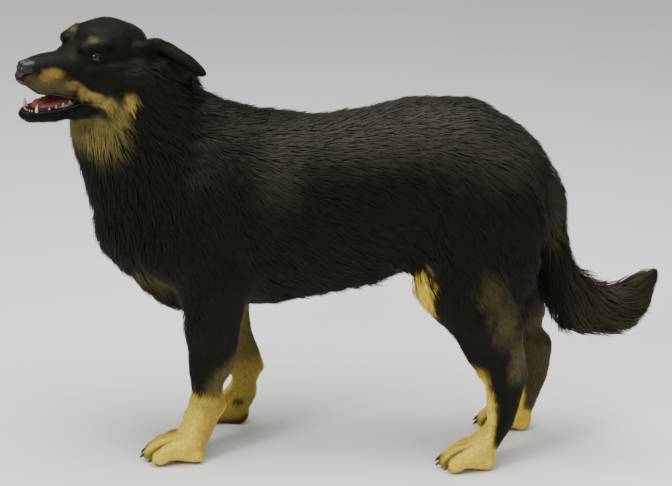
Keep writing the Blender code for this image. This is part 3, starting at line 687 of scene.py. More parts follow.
# %% Streams of the head coat
HEAD_COAT = {
    "mouth_corner": ((-0.025, 0.041, -0.083), 0.030, 0.0014, 0.0055, (-0.90, 0.0, -0.40)),
    "ear_notch": ((-0.104, 0.056, 0.030), 0.018, 0.0012, 0.0060, (-0.90, 0.30, 0.0)),
    "nose_bridge": ((0.080, 0.000, -0.012), 0.030, 0.0012, 0.0040, (-1.0, 0.0, 0.05)),
    "muzzle": ((0.060, 0.025, -0.035), 0.030, 0.0016, 0.0055, (-0.95, 0.15, -0.25)),
    "lip": ((0.050, 0.022, -0.062), 0.022, 0.0013, 0.0045, (-0.95, 0.0, -0.30)),
    "chin": ((0.060, 0.010, -0.112), 0.030, 0.0018, 0.0060, (-1.0, 0.0, -0.15)),
    "eye_ring": ((0.004, 0.034, 0.000), 0.020, 0.0012, 0.0040, (-0.80, 0.55, 0.10)),
    "stop": ((0.012, 0.000, 0.010), 0.025, 0.0015, 0.0055, (-0.90, 0.0, 0.40)),
    "brow": ((-0.010, 0.022, 0.035), 0.025, 0.0022, 0.0080, (-0.95, 0.10, 0.20)),
    "crown": ((-0.060, 0.000, 0.050), 0.040, 0.0032, 0.0120, (-1.0, 0.0, 0.0)),
    "temple": ((-0.050, 0.055, 0.015), 0.030, 0.0030, 0.0110, (-0.95, 0.20, -0.15)),
    "cheek": ((-0.045, 0.065, -0.035), 0.035, 0.0040, 0.0150, (-0.88, 0.10, -0.45)),
    "jowl": ((-0.035, 0.055, -0.085), 0.035, 0.0045, 0.0170, (-0.80, 0.0, -0.60)),
    "throat": ((-0.040, 0.000, -0.130), 0.045, 0.0060, 0.0220, (-0.75, 0.0, -0.66)),
    "skull_back": ((-0.115, 0.000, 0.030), 0.040, 0.0060, 0.0200, (-0.95, 0.0, -0.30)),
    "behind_cheek": ((-0.100, 0.070, -0.060), 0.045, 0.0090, 0.0260, (-0.80, 0.10, -0.60)),
}
EAR_DEPTH = 0.0014
EAR_HAIR = 0.011
EAR_STREAM = Vector((-0.55, 0.83, -0.10))
print("head streams:", len(HEAD_COAT))

# %% The coat at any place
STREAM_FALL = 2.0  # how sharply one stream gives way to the next
FORE_STRIDE = ((0.0, 0.060), (0.11, 0.047), (0.30, 0.0))  # height, how far back the right leg is
HIND_STRIDE = ((0.0, 0.073), (0.166, 0.055), (0.326, 0.037), (0.43, 0.0))
LEG_TOP = 0.43


def folded(places):
    """Places with the right side laid over the left, and the right legs over the left legs."""
    across = places[:, 1] - MIDDLE_Y
    fore = np.interp(places[:, 2], *zip(*FORE_STRIDE))
    hind = np.interp(places[:, 2], *zip(*HIND_STRIDE))
    on_right_leg = (across > 0.02) & (places[:, 2] < LEG_TOP)
    slide = np.where(places[:, 0] < 0.05, fore, hind) * on_right_leg
    return np.column_stack([places[:, 0] - slide, np.abs(across), places[:, 2]])


def coat_at(places):
    """Depth and length of the coat, and the direction it points in, at places in the world."""
    local = into(head_axes, places)
    head_places = on_one_side(local)
    body_places = folded(places)
    side = np.where(local[:, 1] < 0.0, -1.0, 1.0)
    closeness, depths, lengths, streams = [], [], [], []
    for table, at in ((BODY_COAT, body_places), (HEAD_COAT, head_places)):
        for place, reach, depth, length, stream in table.values():
            closeness.append(np.square(np.linalg.norm(at - np.array(place), axis=1) / reach))
            depths.append(depth)
            lengths.append(length)
            stream = np.tile(np.array(stream), (len(places), 1))
            if table is HEAD_COAT:
                stream[:, 1] *= side
                stream = out_of(head_axes, stream)
            streams.append(stream)
    closeness = np.array(closeness)
    weights = np.exp(-STREAM_FALL * (closeness - closeness.min(axis=0)))
    weights /= weights.sum(axis=0)
    depth = np.array(depths) @ weights
    length = np.array(lengths) @ weights
    stream = np.einsum("gn,gnk->nk", weights, np.array(streams))
    ear = ear_share(places)
    ear_way = np.tile(np.array(EAR_STREAM), (len(places), 1))
    ear_way[:, 1] *= side
    stream = stream * (1.0 - ear)[:, None] + out_of(head_axes, ear_way) * ear[:, None]
    depth = depth * (1.0 - ear) + EAR_DEPTH * ear
    length = length * (1.0 - ear) + EAR_HAIR * ear
    return depth, length, unit(stream)

# %% [markdown]
# ## Room for the coat
#
# On a real dog the outline is the tips of the hairs, and the body lies under them. So the skin
# sinks by most of the coat's own depth, and the tips of the tufts come back out to about where it
# was. A Displace modifier with a weight could do it, but one line of arithmetic reads the coat's
# depth directly. Then the trunk, which is smooth, is thinned to far fewer faces than the head.

# %% Room for the coat
SKIN_FACES = 170000  # the aim; the weights below leave fewer
SINK_SHARE = 0.85
FINE_WEIGHT = 0.35  # how willingly the face, the ears and the paws give up faces, next to the trunk
places = places_of(skin.data)
depth = coat_at(places)[0]
set_places(skin.data, places - normals_of(skin.data) * (SINK_SHARE * depth)[:, None])
smooth_by(skin, np.clip(1.0 - 0.8 * head_share(places) - ear_share(places), 0.1, 1.0), 0.5, 6)

places = places_of(skin.data)
give = skin.vertex_groups.new(name="give")
fine = (head_share(places) > 0.5) | (ear_share(places) > 0.3) | (places[:, 2] < 0.05)
give.add(np.flatnonzero(~fine).tolist(), 1.0, "REPLACE")
give.add(np.flatnonzero(fine).tolist(), FINE_WEIGHT, "REPLACE")
thin = skin.modifiers.new("thin", "DECIMATE")
thin.ratio = SKIN_FACES / (2.0 * len(skin.data.polygons))
thin.vertex_group = "give"
thin.vertex_group_factor = 0.001
settle(skin)
skin.vertex_groups.clear()
skin.data.shade_smooth()
print("skin:", len(skin.data.polygons), "faces, coat up to", round(float(depth.max()), 3), "m deep")

# %% [markdown]
# ## Markings
#
# The coat is black with rich tan points: spots over the eyes, a patch on the muzzle, a stripe from
# the lips down to the throat, a spot on the cheek, two patches on the breast, and tan lower legs.
# Painting an image would do, but soft-edged ellipsoids and a few height rules can be asked for at
# any point, so the skin and every tuft agree on their colour. The colours are stored on the points.

# %% Paints and where they lie
BLACK = (0.0045, 0.0044, 0.0028)
RICH_TAN = (0.260, 0.170, 0.040)
STRAW = (0.800, 0.590, 0.080)
FAWN = (0.150, 0.118, 0.034)
OLIVE_TAN = (0.135, 0.113, 0.032)
DUSKY = (0.066, 0.056, 0.020)
BROWN = (0.075, 0.060, 0.028)
# Grey: partly the coat's own grey, partly painted sheen on the top of the dog, where the light from
# above falls.
GREY_AND_SHEEN = (0.030, 0.029, 0.021)
TAIL_BROWN = (0.019, 0.016, 0.009)
BUFF = (0.310, 0.228, 0.062)
HEAD_MARKS = (
    # colour, centre, radii, strength
    (DUSKY, (-0.050, 0.020, -0.152), (0.028, 0.054, 0.012), 0.5),
    (OLIVE_TAN, (-0.040, 0.000, -0.121), (0.034, 0.078, 0.028), 1.0),
    (OLIVE_TAN, (-0.038, 0.058, -0.090), (0.020, 0.030, 0.030), 0.9),
    (BUFF, (-0.022, 0.046, -0.066), (0.017, 0.018, 0.0110), 0.8),
    (BUFF, (0.002, 0.038, -0.0545), (0.018, 0.015, 0.0085), 0.9),
    (BUFF, (0.028, 0.033, -0.0480), (0.018, 0.014, 0.0060), 0.7),
    (BLACK, (-0.026, 0.044, -0.086), (0.018, 0.020, 0.0095), 0.9),
    (DUSKY, (0.062, 0.020, -0.052), (0.050, 0.022, 0.017), 0.9),
    (RICH_TAN, (0.067, 0.025, -0.0315), (0.0170, 0.014, 0.0085), 0.9),
    (RICH_TAN, (0.079, 0.025, -0.0370), (0.0110, 0.014, 0.0060), 0.5),
    (DUSKY, (0.003, 0.024, 0.024), (0.009, 0.009, 0.0055), 0.9),
    (BUFF, (-0.051, 0.074, -0.0525), (0.0080, 0.014, 0.0115), 0.8),
    (DUSKY, (-0.130, 0.111, -0.005), (0.009, 0.010, 0.008), 0.7),
)
# Marks of the body, with grey patches on the withers, back, rump and tail root that are partly the
# coat's own grey and partly painted sheen.
BODY_MARKS_AND_SHEEN = (
    (OLIVE_TAN, (-0.335, 0.085, 0.325), (0.048, 0.040, 0.020), 0.4),
    (STRAW, (0.121, 0.108, 0.320), (0.014, 0.040, 0.036), 0.8),
    # Painted sheen, partly the coat's own grey, on the top of the tail root.
    (GREY_AND_SHEEN, (0.325, 0.010, 0.470), (0.030, 0.050, 0.060), 0.6),
    (DUSKY, (0.333, 0.026, 0.425), (0.010, 0.014, 0.032), 0.4),
    (DUSKY, (0.228, 0.108, 0.335), (0.020, 0.030, 0.034), 0.6),
    (DUSKY, (0.252, 0.104, 0.280), (0.018, 0.030, 0.040), 0.8),
    (BROWN, (0.282, 0.092, 0.215), (0.015, 0.030, 0.045), 0.9),
    # Painted sheen, partly the coat's own grey, on the top of the back, the rump and the withers.
    (GREY_AND_SHEEN, (0.020, 0.050, 0.580), (0.130, 0.090, 0.050), 0.7),
    (GREY_AND_SHEEN, (0.230, 0.060, 0.570), (0.120, 0.080, 0.060), 0.6),
    (GREY_AND_SHEEN, (-0.125, 0.080, 0.520), (0.035, 0.050, 0.070), 0.5),
)
print("marks:", len(HEAD_MARKS), "on the head,", len(BODY_MARKS_AND_SHEEN), "on the body")

# %% Paint on the legs and paws
def inside_mark(at, centre, radii, edge=0.45):
    """1 inside an ellipsoid, falling to 0 over its soft edge."""
    away = np.linalg.norm((at - np.array(centre)) / np.array(radii), axis=1)
    return fall(1.0 - edge, 1.0 + edge, away)


def blend_in(colours, paint, share):
    return colours * (1.0 - share)[:, None] + np.array(paint) * share[:, None]


def paint_fore_legs(colours, at, fore):
    """Tan below the wrist, and up the back and the inner side to the elbow. Painted shade darkens the
    inner side, the top of the wrist and the back of the wrist and pastern.
    """
    height = at[:, 2]
    low = fall(0.122, 0.138, height)
    edge = np.interp(height, (0.12, 0.16, 0.20, 0.24), (-0.236, -0.222, -0.196, -0.168))
    back_edge = soft_step(-0.012, 0.012, at[:, 0] - edge) * fall(0.19, 0.23, height)
    inner = fall(0.066, 0.082, at[:, 1]) * fall(0.245, 0.285, height)
    # The inner side is fawn and keeps less straw below the wrist: partly the tan up the inner side,
    # partly painted shade between the legs.
    share = np.maximum(0.55 * back_edge, 0.85 * inner) * fore
    colours = blend_in(colours, FAWN, share)
    colours = blend_in(colours, STRAW, low * fore * (1.0 - 0.70 * inner))
    # Painted shade: the tan is darker at the top of the wrist than on the paw, which the light from
    # above reaches.
    colours = blend_in(colours, FAWN, 0.5 * low * fore * soft_step(0.085, 0.125, height))
    # Painted shade: a darker, richer tan behind the wrist and the pastern.
    wrist_back = inside_mark(at, (-0.212, 0.095, 0.105), (0.018, 0.050, 0.030), 0.6)
    colours = blend_in(colours, RICH_TAN, 0.7 * wrist_back)
    pastern_back = inside_mark(at, (-0.222, 0.095, 0.055), (0.018, 0.040, 0.036), 0.6)
    return blend_in(colours, RICH_TAN, 0.6 * pastern_back)


def paint_hind_legs(colours, at, fore):
    """Tan down the front and the inner side of the pastern, black behind, and a brown tail."""
    height = at[:, 2]
    edge_heights = (0.0, 0.035, 0.05, 0.08, 0.13, 0.18)
    edge = np.interp(height, edge_heights, (0.275, 0.27, 0.25, 0.25, 0.252, 0.230))
    front = fall(-0.008, 0.008, at[:, 0] - edge)
    low = fall(0.165, 0.205, height)
    inner = fall(0.070, 0.084, at[:, 1])
    not_tail = fall(0.335, 0.350, at[:, 0])
    share = front * low * ~fore
    colours = blend_in(colours, STRAW, share)
    share = 0.85 * inner * fall(0.20, 0.30, height) * (1.0 - share) * not_tail * ~fore
    colours = blend_in(colours, BROWN, share)
    on_tail = soft_step(0.345, 0.375, at[:, 0]) * (height > 0.20)
    return blend_in(colours, TAIL_BROWN, on_tail)


# Half the width of the painted shade along each groove between two toes.
TOE_GROOVE_SHADE_HALF = 0.0026


def paint_paws(colours, places, at, fore):
    """Dark lines of painted shade in the grooves between the toes, a dark heel and spur, dusky toe
    tips and black soles.
    """
    for name, (_, _, _, (length, width)) in PAWS.items():
        on_paw = into(paw_axes(name), places)
        ahead = soft_step(0.40, 0.62, -on_paw[:, 0] / length) * (on_paw[:, 2] < 0.06)
        ahead *= (np.abs(on_paw[:, 1]) < 0.6 * width) * (on_paw[:, 0] > -1.2 * length)
        # Painted shade: a dark line along each groove between two toes.
        for gap in (-1.0, 0.0, 1.0):
            off_line = (on_paw[:, 1] - 0.97 * gap * width / 4.0) / TOE_GROOVE_SHADE_HALF
            line = np.exp(-np.square(off_line))
            colours = blend_in(colours, TAIL_BROWN, 0.85 * line * ahead)
    heel = inside_mark(places, (-0.172, 0.095, 0.006), (0.040, 0.050, 0.016), 0.5)
    colours = blend_in(colours, BLACK, 0.9 * heel)
    spur = inside_mark(places, (-0.180, 0.074, 0.052), (0.010, 0.020, 0.007), 0.5)
    colours = blend_in(colours, BLACK, 0.8 * spur)
    toe_tip = np.where(fore, -0.326, 0.169)
    share = 0.8 * fall(-0.005, 0.006, at[:, 0] - toe_tip) * fall(0.02, 0.04, at[:, 2])
    colours = blend_in(colours, DUSKY, share)
    return blend_in(colours, BLACK, fall(0.004, 0.008, at[:, 2]))

# %% The colour of the hair at any place
MARK_SEED = 11
MARK_RAGGEDNESS = 0.006
HEAD_FRONT = -0.2  # the head is ahead of this


def coat_colour(places):
    """The colour of the hair that grows at some places, with painted sheen and painted shade in it.
    """
    ripples = [ripple(places, 0.018, MARK_SEED + axis) for axis in range(3)]
    rough = MARK_RAGGEDNESS * np.column_stack(ripples)
    rough *= (0.35 + 0.65 * soft_step(0.20, 0.30, places[:, 2]))[:, None]
    fine_rough = 0.15 * rough
    head_places = on_one_side(into(head_axes, places + fine_rough))
    at = folded(places + rough)
    near_head = soft_step(0.50, 0.52, places[:, 2]) * (places[:, 0] < HEAD_FRONT)
    colours = np.tile(np.array(BLACK), (len(places), 1))
    for paint, centre, radii, strength in BODY_MARKS_AND_SHEEN:
        share = strength * inside_mark(at, centre, radii, 0.6) * (1.0 - near_head)
        colours = blend_in(colours, paint, share)
    fore = at[:, 0] < 0.05
    colours = paint_fore_legs(colours, at, fore)
    colours = paint_hind_legs(colours, at, fore)
    colours = paint_paws(colours, places, at, fore)
    for paint, centre, radii, strength in HEAD_MARKS:
        share = strength * inside_mark(head_places, centre, radii)
        share = share * soft_step(0.45, 0.5, places[:, 2])
        share *= places[:, 0] < HEAD_FRONT
        colours = blend_in(colours, paint, share)
    return colours

# %% Colours and bare skin, stored on the points
def store_colours(mesh, colours):
    layer = mesh.color_attributes.new("coat_colour", "FLOAT_COLOR", "POINT")
    full = np.column_stack([colours, np.ones(len(colours))]).astype(np.float32)
    layer.data.foreach_set("color", full.ravel())


def bare_share(places):
    """1 inside the mouth, where the skin is wet and bare."""
    local = into(head_axes, places)
    jaw = into(jaw_axes, places)
    across = np.abs(local[:, 1])
    roof_half = np.interp(local[:, 0], (-0.03, 0.03, 0.10), (0.030, 0.020, 0.011))
    roof = (across < roof_half) & (local[:, 2] < -0.045) & (local[:, 2] > -0.075)
    floor_half = np.interp(jaw[:, 0], (-0.03, 0.00, 0.03, 0.085), (0.026, 0.024, 0.0215, 0.0120))
    below = (np.abs(jaw[:, 1]) < floor_half) & (jaw[:, 2] > -0.0745) & (jaw[:, 2] < -0.045)
    roof &= local[:, 0] < 0.092
    below &= jaw[:, 0] < 0.084
    return ((roof | below) & (local[:, 0] > -0.04)).astype(float)


skin_triangles, _ = triangles_of(skin.data)
skin_places = places_of(skin.data)
skin_normals = normals_of(skin.data)
skin_tree = BVHTree.FromPolygons(skin_places.tolist(), skin_triangles.tolist())

store_colours(skin.data, coat_colour(skin_places))
bare = bare_share(skin_places)
bare_layer = skin.data.attributes.new("bare", "FLOAT", "POINT")
bare_layer.data.foreach_set("value", bare.astype(np.float32))
print("points of the skin:", len(skin_places), "of which bare:", int(bare.sum()))

# %% [markdown]
# ## Finishes
#
# Hair, wet flesh and horn all break up their colour in the same small way, so one node group makes
# that mottle. Shaders stay in each material. The hair is lit as a rough, faintly sheened surface.

# %% A mottle that the finishes share
def make_mottle_group():
    """A group that gives a soft mottle, about 1 on average, and a fine grain for bump."""
    group = bpy.data.node_groups.new("mottle", "ShaderNodeTree")
    for name in ("Scale", "Low", "High"):
        group.interface.new_socket(name=name, in_out="INPUT", socket_type="NodeSocketFloat")
    for name in ("Factor", "Grain"):
        group.interface.new_socket(name=name, in_out="OUTPUT", socket_type="NodeSocketFloat")
    nodes, links = group.nodes, group.links
    entry = nodes.new("NodeGroupInput")
    leave = nodes.new("NodeGroupOutput")
    where = nodes.new("ShaderNodeTexCoord")
    noise = nodes.new("ShaderNodeTexNoise")
    set_inputs(noise, {"Detail": 4.0})
    span = nodes.new("ShaderNodeMapRange")
    set_inputs(span, {"From Min": 0.3, "From Max": 0.7})
    links.new(where.outputs["Object"], noise.inputs["Vector"])
    links.new(entry.outputs["Scale"], noise.inputs["Scale"])
    links.new(noise.outputs["Fac"], span.inputs["Value"])
    links.new(entry.outputs["Low"], span.inputs["To Min"])
    links.new(entry.outputs["High"], span.inputs["To Max"])
    links.new(span.outputs["Result"], leave.inputs["Factor"])
    links.new(noise.outputs["Fac"], leave.inputs["Grain"])
    return group


MOTTLE = make_mottle_group()


def add_mottle(made, scale, low, high):
    node = made.node_tree.nodes.new("ShaderNodeGroup")
    node.node_tree = MOTTLE
    set_inputs(node, {"Scale": scale, "Low": low, "High": high})
    return node


def scaled_colour(made, source, factor):
    """A colour socket times a number socket."""
    mix = made.node_tree.nodes.new("ShaderNodeVectorMath")
    mix.operation = "SCALE"
    made.node_tree.links.new(source, mix.inputs[0])
    made.node_tree.links.new(factor, mix.inputs["Scale"])
    return mix.outputs[0]


def add_bump(made, shader, height, strength, distance):
    bump = made.node_tree.nodes.new("ShaderNodeBump")
    set_inputs(bump, {"Strength": strength, "Distance": distance})
    made.node_tree.links.new(height, bump.inputs["Height"])
    made.node_tree.links.new(bump.outputs["Normal"], shader.inputs["Normal"])


print("mottle nodes:", len(MOTTLE.nodes))

# %% Hair and bare skin
HAIR_ROUGHNESS = 0.55
WET_ROUGHNESS = 0.25
WET_PINK = (0.155, 0.040, 0.036, 1.0)
HAIR_SHINE = {
    "Specular IOR Level": 0.11,
    "Specular Tint": (1.0, 0.97, 0.82, 1.0),
    "Sheen Weight": 0.02,
    "Sheen Roughness": 0.5,
}


def make_coat(name, bare=False):
    """The finish of hair, or with bare=True of the skin under it, which is wet in the mouth."""
    made, shader = start_material(name, HAIR_ROUGHNESS)
    nodes, links = made.node_tree.nodes, made.node_tree.links
    stored = nodes.new("ShaderNodeAttribute")
    stored.attribute_name = "coat_colour"
    mottle = add_mottle(made, 260.0, 0.80, 1.25)
    colour = scaled_colour(made, stored.outputs["Color"], mottle.outputs["Factor"])
    set_inputs(shader, HAIR_SHINE)
    if bare:
        wet = nodes.new("ShaderNodeAttribute")
        wet.attribute_name = "bare"
        mix = nodes.new("ShaderNodeMix")
        mix.data_type = "RGBA"
        set_inputs(mix, {"B": WET_PINK})
        links.new(wet.outputs["Fac"], mix.inputs["Factor"])
        links.new(colour, mix.inputs["A"])
        colour = mix.outputs["Result"]
        damp = nodes.new("ShaderNodeMapRange")
        set_inputs(damp, {"To Min": HAIR_ROUGHNESS, "To Max": WET_ROUGHNESS})
        links.new(wet.outputs["Fac"], damp.inputs["Value"])
        links.new(damp.outputs["Result"], shader.inputs["Roughness"])
        add_bump(made, shader, mottle.outputs["Grain"], 0.4, 0.001)
    links.new(colour, shader.inputs["Base Color"])
    return made


SKIN_PAINT = make_coat("skin_paint", bare=True)
HAIR_PAINT = make_coat("hair_paint")
skin.data.materials.append(SKIN_PAINT)
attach(skin, "root")
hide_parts(*BODY_NODES, *HEAD_NODES)
print("the skin stands for", len(BODY_NODES) + len(HEAD_NODES), "solids")

# %% [markdown]
# ## Eyes
#
# A dog's eye is a nearly round ball with a dark brown iris that almost fills the opening. A flat
# disc behind a clear shell could make it, but at this size a sphere whose front is raised a little
# into a cornea looks the same and is one closed piece. Its colours are rings about the gaze, read
# from Object coordinates, so no image is needed.

# %% The eyeballs' shape
EYE_RADIUS = 0.0116
CORNEA_RADIUS = 0.0078
CORNEA_RISE = 0.0012
GAZE = {side: Vector((0.62, side * 0.76, 0.05)).normalized() for side in (LEFT, RIGHT)}


def eye_centre(side):
    return head_axes @ Vector((EYE_PLACE.x, side * EYE_PLACE.y, EYE_PLACE.z))


def gaze_axes(side):
    """Axes with X along the gaze and Z up the head."""
    ahead = (head_axes.to_3x3() @ GAZE[side]).normalized()
    up = (head_axes.to_3x3() @ Vector((0.0, 0.0, 1.0))).normalized()
    across = up.cross(ahead).normalized()
    turn = Matrix((ahead, across, ahead.cross(across))).transposed().to_4x4()
    return Matrix.Translation(eye_centre(side)) @ turn


def eyeball(side):
    bm = bmesh.new()
    bmesh.ops.create_uvsphere(bm, u_segments=48, v_segments=32, radius=EYE_RADIUS)
    forwards = Matrix.Rotation(math.radians(90), 3, "Y")
    bmesh.ops.rotate(bm, verts=bm.verts, cent=(0, 0, 0), matrix=forwards)
    for vertex in bm.verts:
        off_axis = math.hypot(vertex.co.y, vertex.co.z)
        if vertex.co.x > 0.0:
            vertex.co.x += CORNEA_RISE * max(0.0, 1.0 - (off_axis / CORNEA_RADIUS) ** 2)
    bmesh.ops.transform(bm, verts=bm.verts, matrix=gaze_axes(side))
    return mesh_from("eyeball", bm)

# %% The eyeballs' finish
PUPIL_RADIUS = 0.0030
IRIS_RADIUS = 0.0072
RING_REACH = 0.012
EYE_RINGS = (
    # distance from the front of the ball, colour
    (PUPIL_RADIUS, (0.002, 0.002, 0.002)),
    (PUPIL_RADIUS + 0.0006, (0.009, 0.005, 0.003)),
    (0.0058, (0.006, 0.0035, 0.002)),
    (IRIS_RADIUS, (0.003, 0.002, 0.002)),
    (IRIS_RADIUS + 0.0010, (0.020, 0.015, 0.012)),
)


def make_eye_paint(name, side):
    made, shader = start_material(name, 0.04)
    nodes, links = made.node_tree.nodes, made.node_tree.links
    where = nodes.new("ShaderNodeTexCoord")
    front = gaze_axes(side) @ Vector((EYE_RADIUS, 0.0, 0.0))
    away = nodes.new("ShaderNodeVectorMath")
    away.operation = "DISTANCE"
    set_inputs(away, {1: front})
    links.new(where.outputs["Object"], away.inputs[0])
    rings = nodes.new("ShaderNodeValToRGB")
    stops = rings.color_ramp.elements
    for count, (radius, colour) in enumerate(EYE_RINGS):
        stop = stops[count] if count < 2 else stops.new(radius / RING_REACH)
        stop.position = radius / RING_REACH
        stop.color = (*colour, 1.0)
    span = nodes.new("ShaderNodeMath")
    span.operation = "DIVIDE"
    set_inputs(span, {1: RING_REACH})
    links.new(away.outputs["Value"], span.inputs[0])
    links.new(span.outputs["Value"], rings.inputs["Fac"])
    mottle = add_mottle(made, 900.0, 0.75, 1.3)
    colour = scaled_colour(made, rings.outputs["Color"], mottle.outputs["Factor"])
    links.new(colour, shader.inputs["Base Color"])
    set_inputs(shader, {"Specular IOR Level": 0.36})
    return made


def add_piece(name, mesh, paint, slot, *stands_for):
    piece = add_object(name, mesh)
    piece.data.materials.clear()
    piece.data.materials.append(paint)
    piece.data.shade_smooth()
    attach(piece, "root")
    if stands_for:
        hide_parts(*stands_for)
    print(name + ":", len(piece.data.polygons), "faces")
    return piece


SIDE_NAMES = {LEFT: "left", RIGHT: "right"}
for side, word in SIDE_NAMES.items():
    ball = eyeball(side)
    eye_paint = make_eye_paint("eye_paint_" + word, side)
    add_piece("eyeball_" + word, ball, eye_paint, "eye", "eye_" + word)

# %% [markdown]
# ## Eyelids
#
# The lids are a band of black skin that hugs the ball and leaves an almond between them. They could
# be cut from a second sphere, but the cut would leave a sharp rim. Here a ring of edges is shaped to
# the almond and extruded outwards over the ball and into the head.

# %% Eyelids
LID_LENGTH = 0.0098
LID_ABOVE = 0.0044
LID_BELOW = 0.0037
LID_CORNER = 1.25  # above 1 draws the corners of the almond to points
LID_SLANT = 0.10
LID_GAP = 0.0004
LID_ROUNDS = (
    # growth from the almond, lift off the ball
    (0.96, -0.0004),
    (1.00, 0.0006),
    (1.10, 0.0012),
    (1.30, 0.0010),
    (1.75, 0.0002),
    (2.3, -0.002),
)


def lid_place(y, z, grow, lift):
    """A place on the lids, where the almond's own place is grown outwards over the ball."""
    out_y, out_z = y * grow, z * (grow + 0.25 * (grow - 1.0))
    radius = EYE_RADIUS + LID_GAP + lift
    reach = math.hypot(out_y, out_z)
    if reach > 0.97 * radius:
        out_y, out_z = out_y * 0.97 * radius / reach, out_z * 0.97 * radius / reach
    x = math.sqrt(max(radius ** 2 - out_y ** 2 - out_z ** 2, 0.0))
    return Vector((x, out_y, out_z))


def eyelids(side):
    bm = bmesh.new()
    ring = bmesh.ops.create_circle(bm, segments=44, radius=1.0)["verts"]
    for vertex in ring:
        along, up = vertex.co.x, vertex.co.y
        bulge = LID_ABOVE if up > 0.0 else LID_BELOW
        y = along * LID_LENGTH
        z = bulge * math.copysign(abs(up) ** LID_CORNER, up) - LID_SLANT * y * side
        vertex.co = Vector((0.0, y, z))
    edges = bm.edges[:]
    spots = {vertex: (vertex.co.y, vertex.co.z) for vertex in ring}
    for count, (grow, lift) in enumerate(LID_ROUNDS):
        if count:
            made = bmesh.ops.extrude_edge_only(bm, edges=edges)["geom"]
            edges = [item for item in made if isinstance(item, bmesh.types.BMEdge)]
            fresh = [item for item in made if isinstance(item, bmesh.types.BMVert)]
            nearest = {}
            for vertex in fresh:
                old = min(spots, key=lambda other: (other.co - vertex.co).length_squared)
                nearest[vertex] = spots[old]
            spots = nearest
        for vertex, (y, z) in spots.items():
            vertex.co = lid_place(y, z, grow, lift)
    bmesh.ops.transform(bm, verts=bm.verts, matrix=gaze_axes(side))
    bmesh.ops.recalc_face_normals(bm, faces=bm.faces)
    return mesh_from("eyelids", bm)


PORE_DEPTH = 0.0006


def make_wet_skin(name, colour, roughness, scale, bump, shine=0.5):
    made, shader = start_material(name, roughness)
    set_inputs(shader, {"Specular IOR Level": shine})
    mottle = add_mottle(made, scale, 0.75, 1.3)
    nodes, links = made.node_tree.nodes, made.node_tree.links
    plain = nodes.new("ShaderNodeRGB")
    plain.outputs[0].default_value = (*colour, 1.0)
    mottled = scaled_colour(made, plain.outputs[0], mottle.outputs["Factor"])
    links.new(mottled, shader.inputs["Base Color"])
    add_bump(made, shader, mottle.outputs["Grain"], bump, PORE_DEPTH)
    return made


LID_PAINT = make_wet_skin("lid_paint", (0.005, 0.004, 0.0035), 0.60, 700.0, 0.4, 0.2)
for side, word in SIDE_NAMES.items():
    add_piece("eyelids_" + word, eyelids(side), LID_PAINT, "nose_leather")

# %% [markdown]
# ## Nose
#
# The nose pad is bare, pebbled leather with two comma-shaped nostrils that open to the sides and a
# groove down the middle. Cutting the holes with booleans would leave hard rims. Here beads give the
# mass, a fine remesh joins them, and the openings are pressed softly into the points.

# %% Nose
NOSTRIL = np.array((0.1150, 0.0078, -0.0335))
NOSTRIL_SLIT = NOSTRIL + np.array((-0.006, 0.0065, -0.0030))
NOSTRIL_DEPTH = 0.0060
SLIT_DEPTH = 0.0022
GROOVE_DEPTH = 0.0011
NOSE_GRAIN = 0.0007
NOSE_BEADS = (
    ((0.0950, 0.0, -0.0215), (0.0080, 0.0125, 0.0060)),
    ((0.1085, 0.0, -0.0245), (0.0065, 0.0105, 0.0055)),
    ((0.1000, 0.0, -0.0310), (0.0120, 0.0155, 0.0070)),
    ((0.1115, 0.0, -0.0325), (0.0055, 0.0105, 0.0065)),
    ((0.1080, 0.0, -0.0395), (0.0065, 0.0055, 0.0060)),
)


def fused_beads(name, beads, grain):
    """A line of beads wrapped and fused into one object, still in its own axes."""
    bm = bmesh.new()
    wrap_beads(bm, beads, Matrix.Identity(4), detail=4)
    thing = add_object(name, mesh_from(name, bm))
    remesh(thing, grain)
    return thing


def taken_into(axes, thing):
    """The mesh of an object, turned out of its own axes into the world."""
    mesh = thing.data
    mesh.transform(axes)
    bpy.data.objects.remove(thing)
    return mesh


def nose_pad():
    pad = fused_beads("nose_pad", NOSE_BEADS, NOSE_GRAIN)
    smooth_by(pad, np.ones(len(pad.data.vertices)), 0.5, 12)
    at = places_of(pad.data)
    facing = normals_of(pad.data)
    half = on_one_side(at)
    off_hole = np.linalg.norm((half - NOSTRIL) * (0.7, 0.8, 1.0), axis=1)
    off_slit = np.linalg.norm((half - NOSTRIL_SLIT) * (0.45, 0.5, 1.5), axis=1)
    hole = fall(0.0016, 0.0046, off_hole)
    slit = fall(0.0010, 0.0028, off_slit)
    groove = fall(0.0003, 0.0014, half[:, 1]) * soft_step(0.100, 0.112, at[:, 0])
    push = NOSTRIL_DEPTH * hole + SLIT_DEPTH * slit * (1.0 - hole) + GROOVE_DEPTH * groove
    inward = np.array((-0.75, 0.0, -0.05)) * hole[:, None] + -facing * (1.0 - hole)[:, None]
    set_places(pad.data, at + inward * push[:, None])
    return taken_into(head_axes, pad)


def make_nose_paint():
    made, shader = start_material("nose_paint", 0.46)
    set_inputs(shader, {"Specular IOR Level": 0.40})
    nodes, links = made.node_tree.nodes, made.node_tree.links
    where = nodes.new("ShaderNodeTexCoord")
    pebbles = nodes.new("ShaderNodeTexVoronoi")
    set_inputs(pebbles, {"Scale": 900.0})
    links.new(where.outputs["Object"], pebbles.inputs["Vector"])
    add_bump(made, shader, pebbles.outputs["Distance"], -0.45, PORE_DEPTH)
    mottle = add_mottle(made, 300.0, 0.003, 0.007)
    tone = nodes.new("ShaderNodeCombineColor")
    for channel in ("Red", "Green", "Blue"):
        links.new(mottle.outputs["Factor"], tone.inputs[channel])
    links.new(tone.outputs["Color"], shader.inputs["Base Color"])
    return made


add_piece("nose_pad", nose_pad(), make_nose_paint(), "nose_leather", "nose")

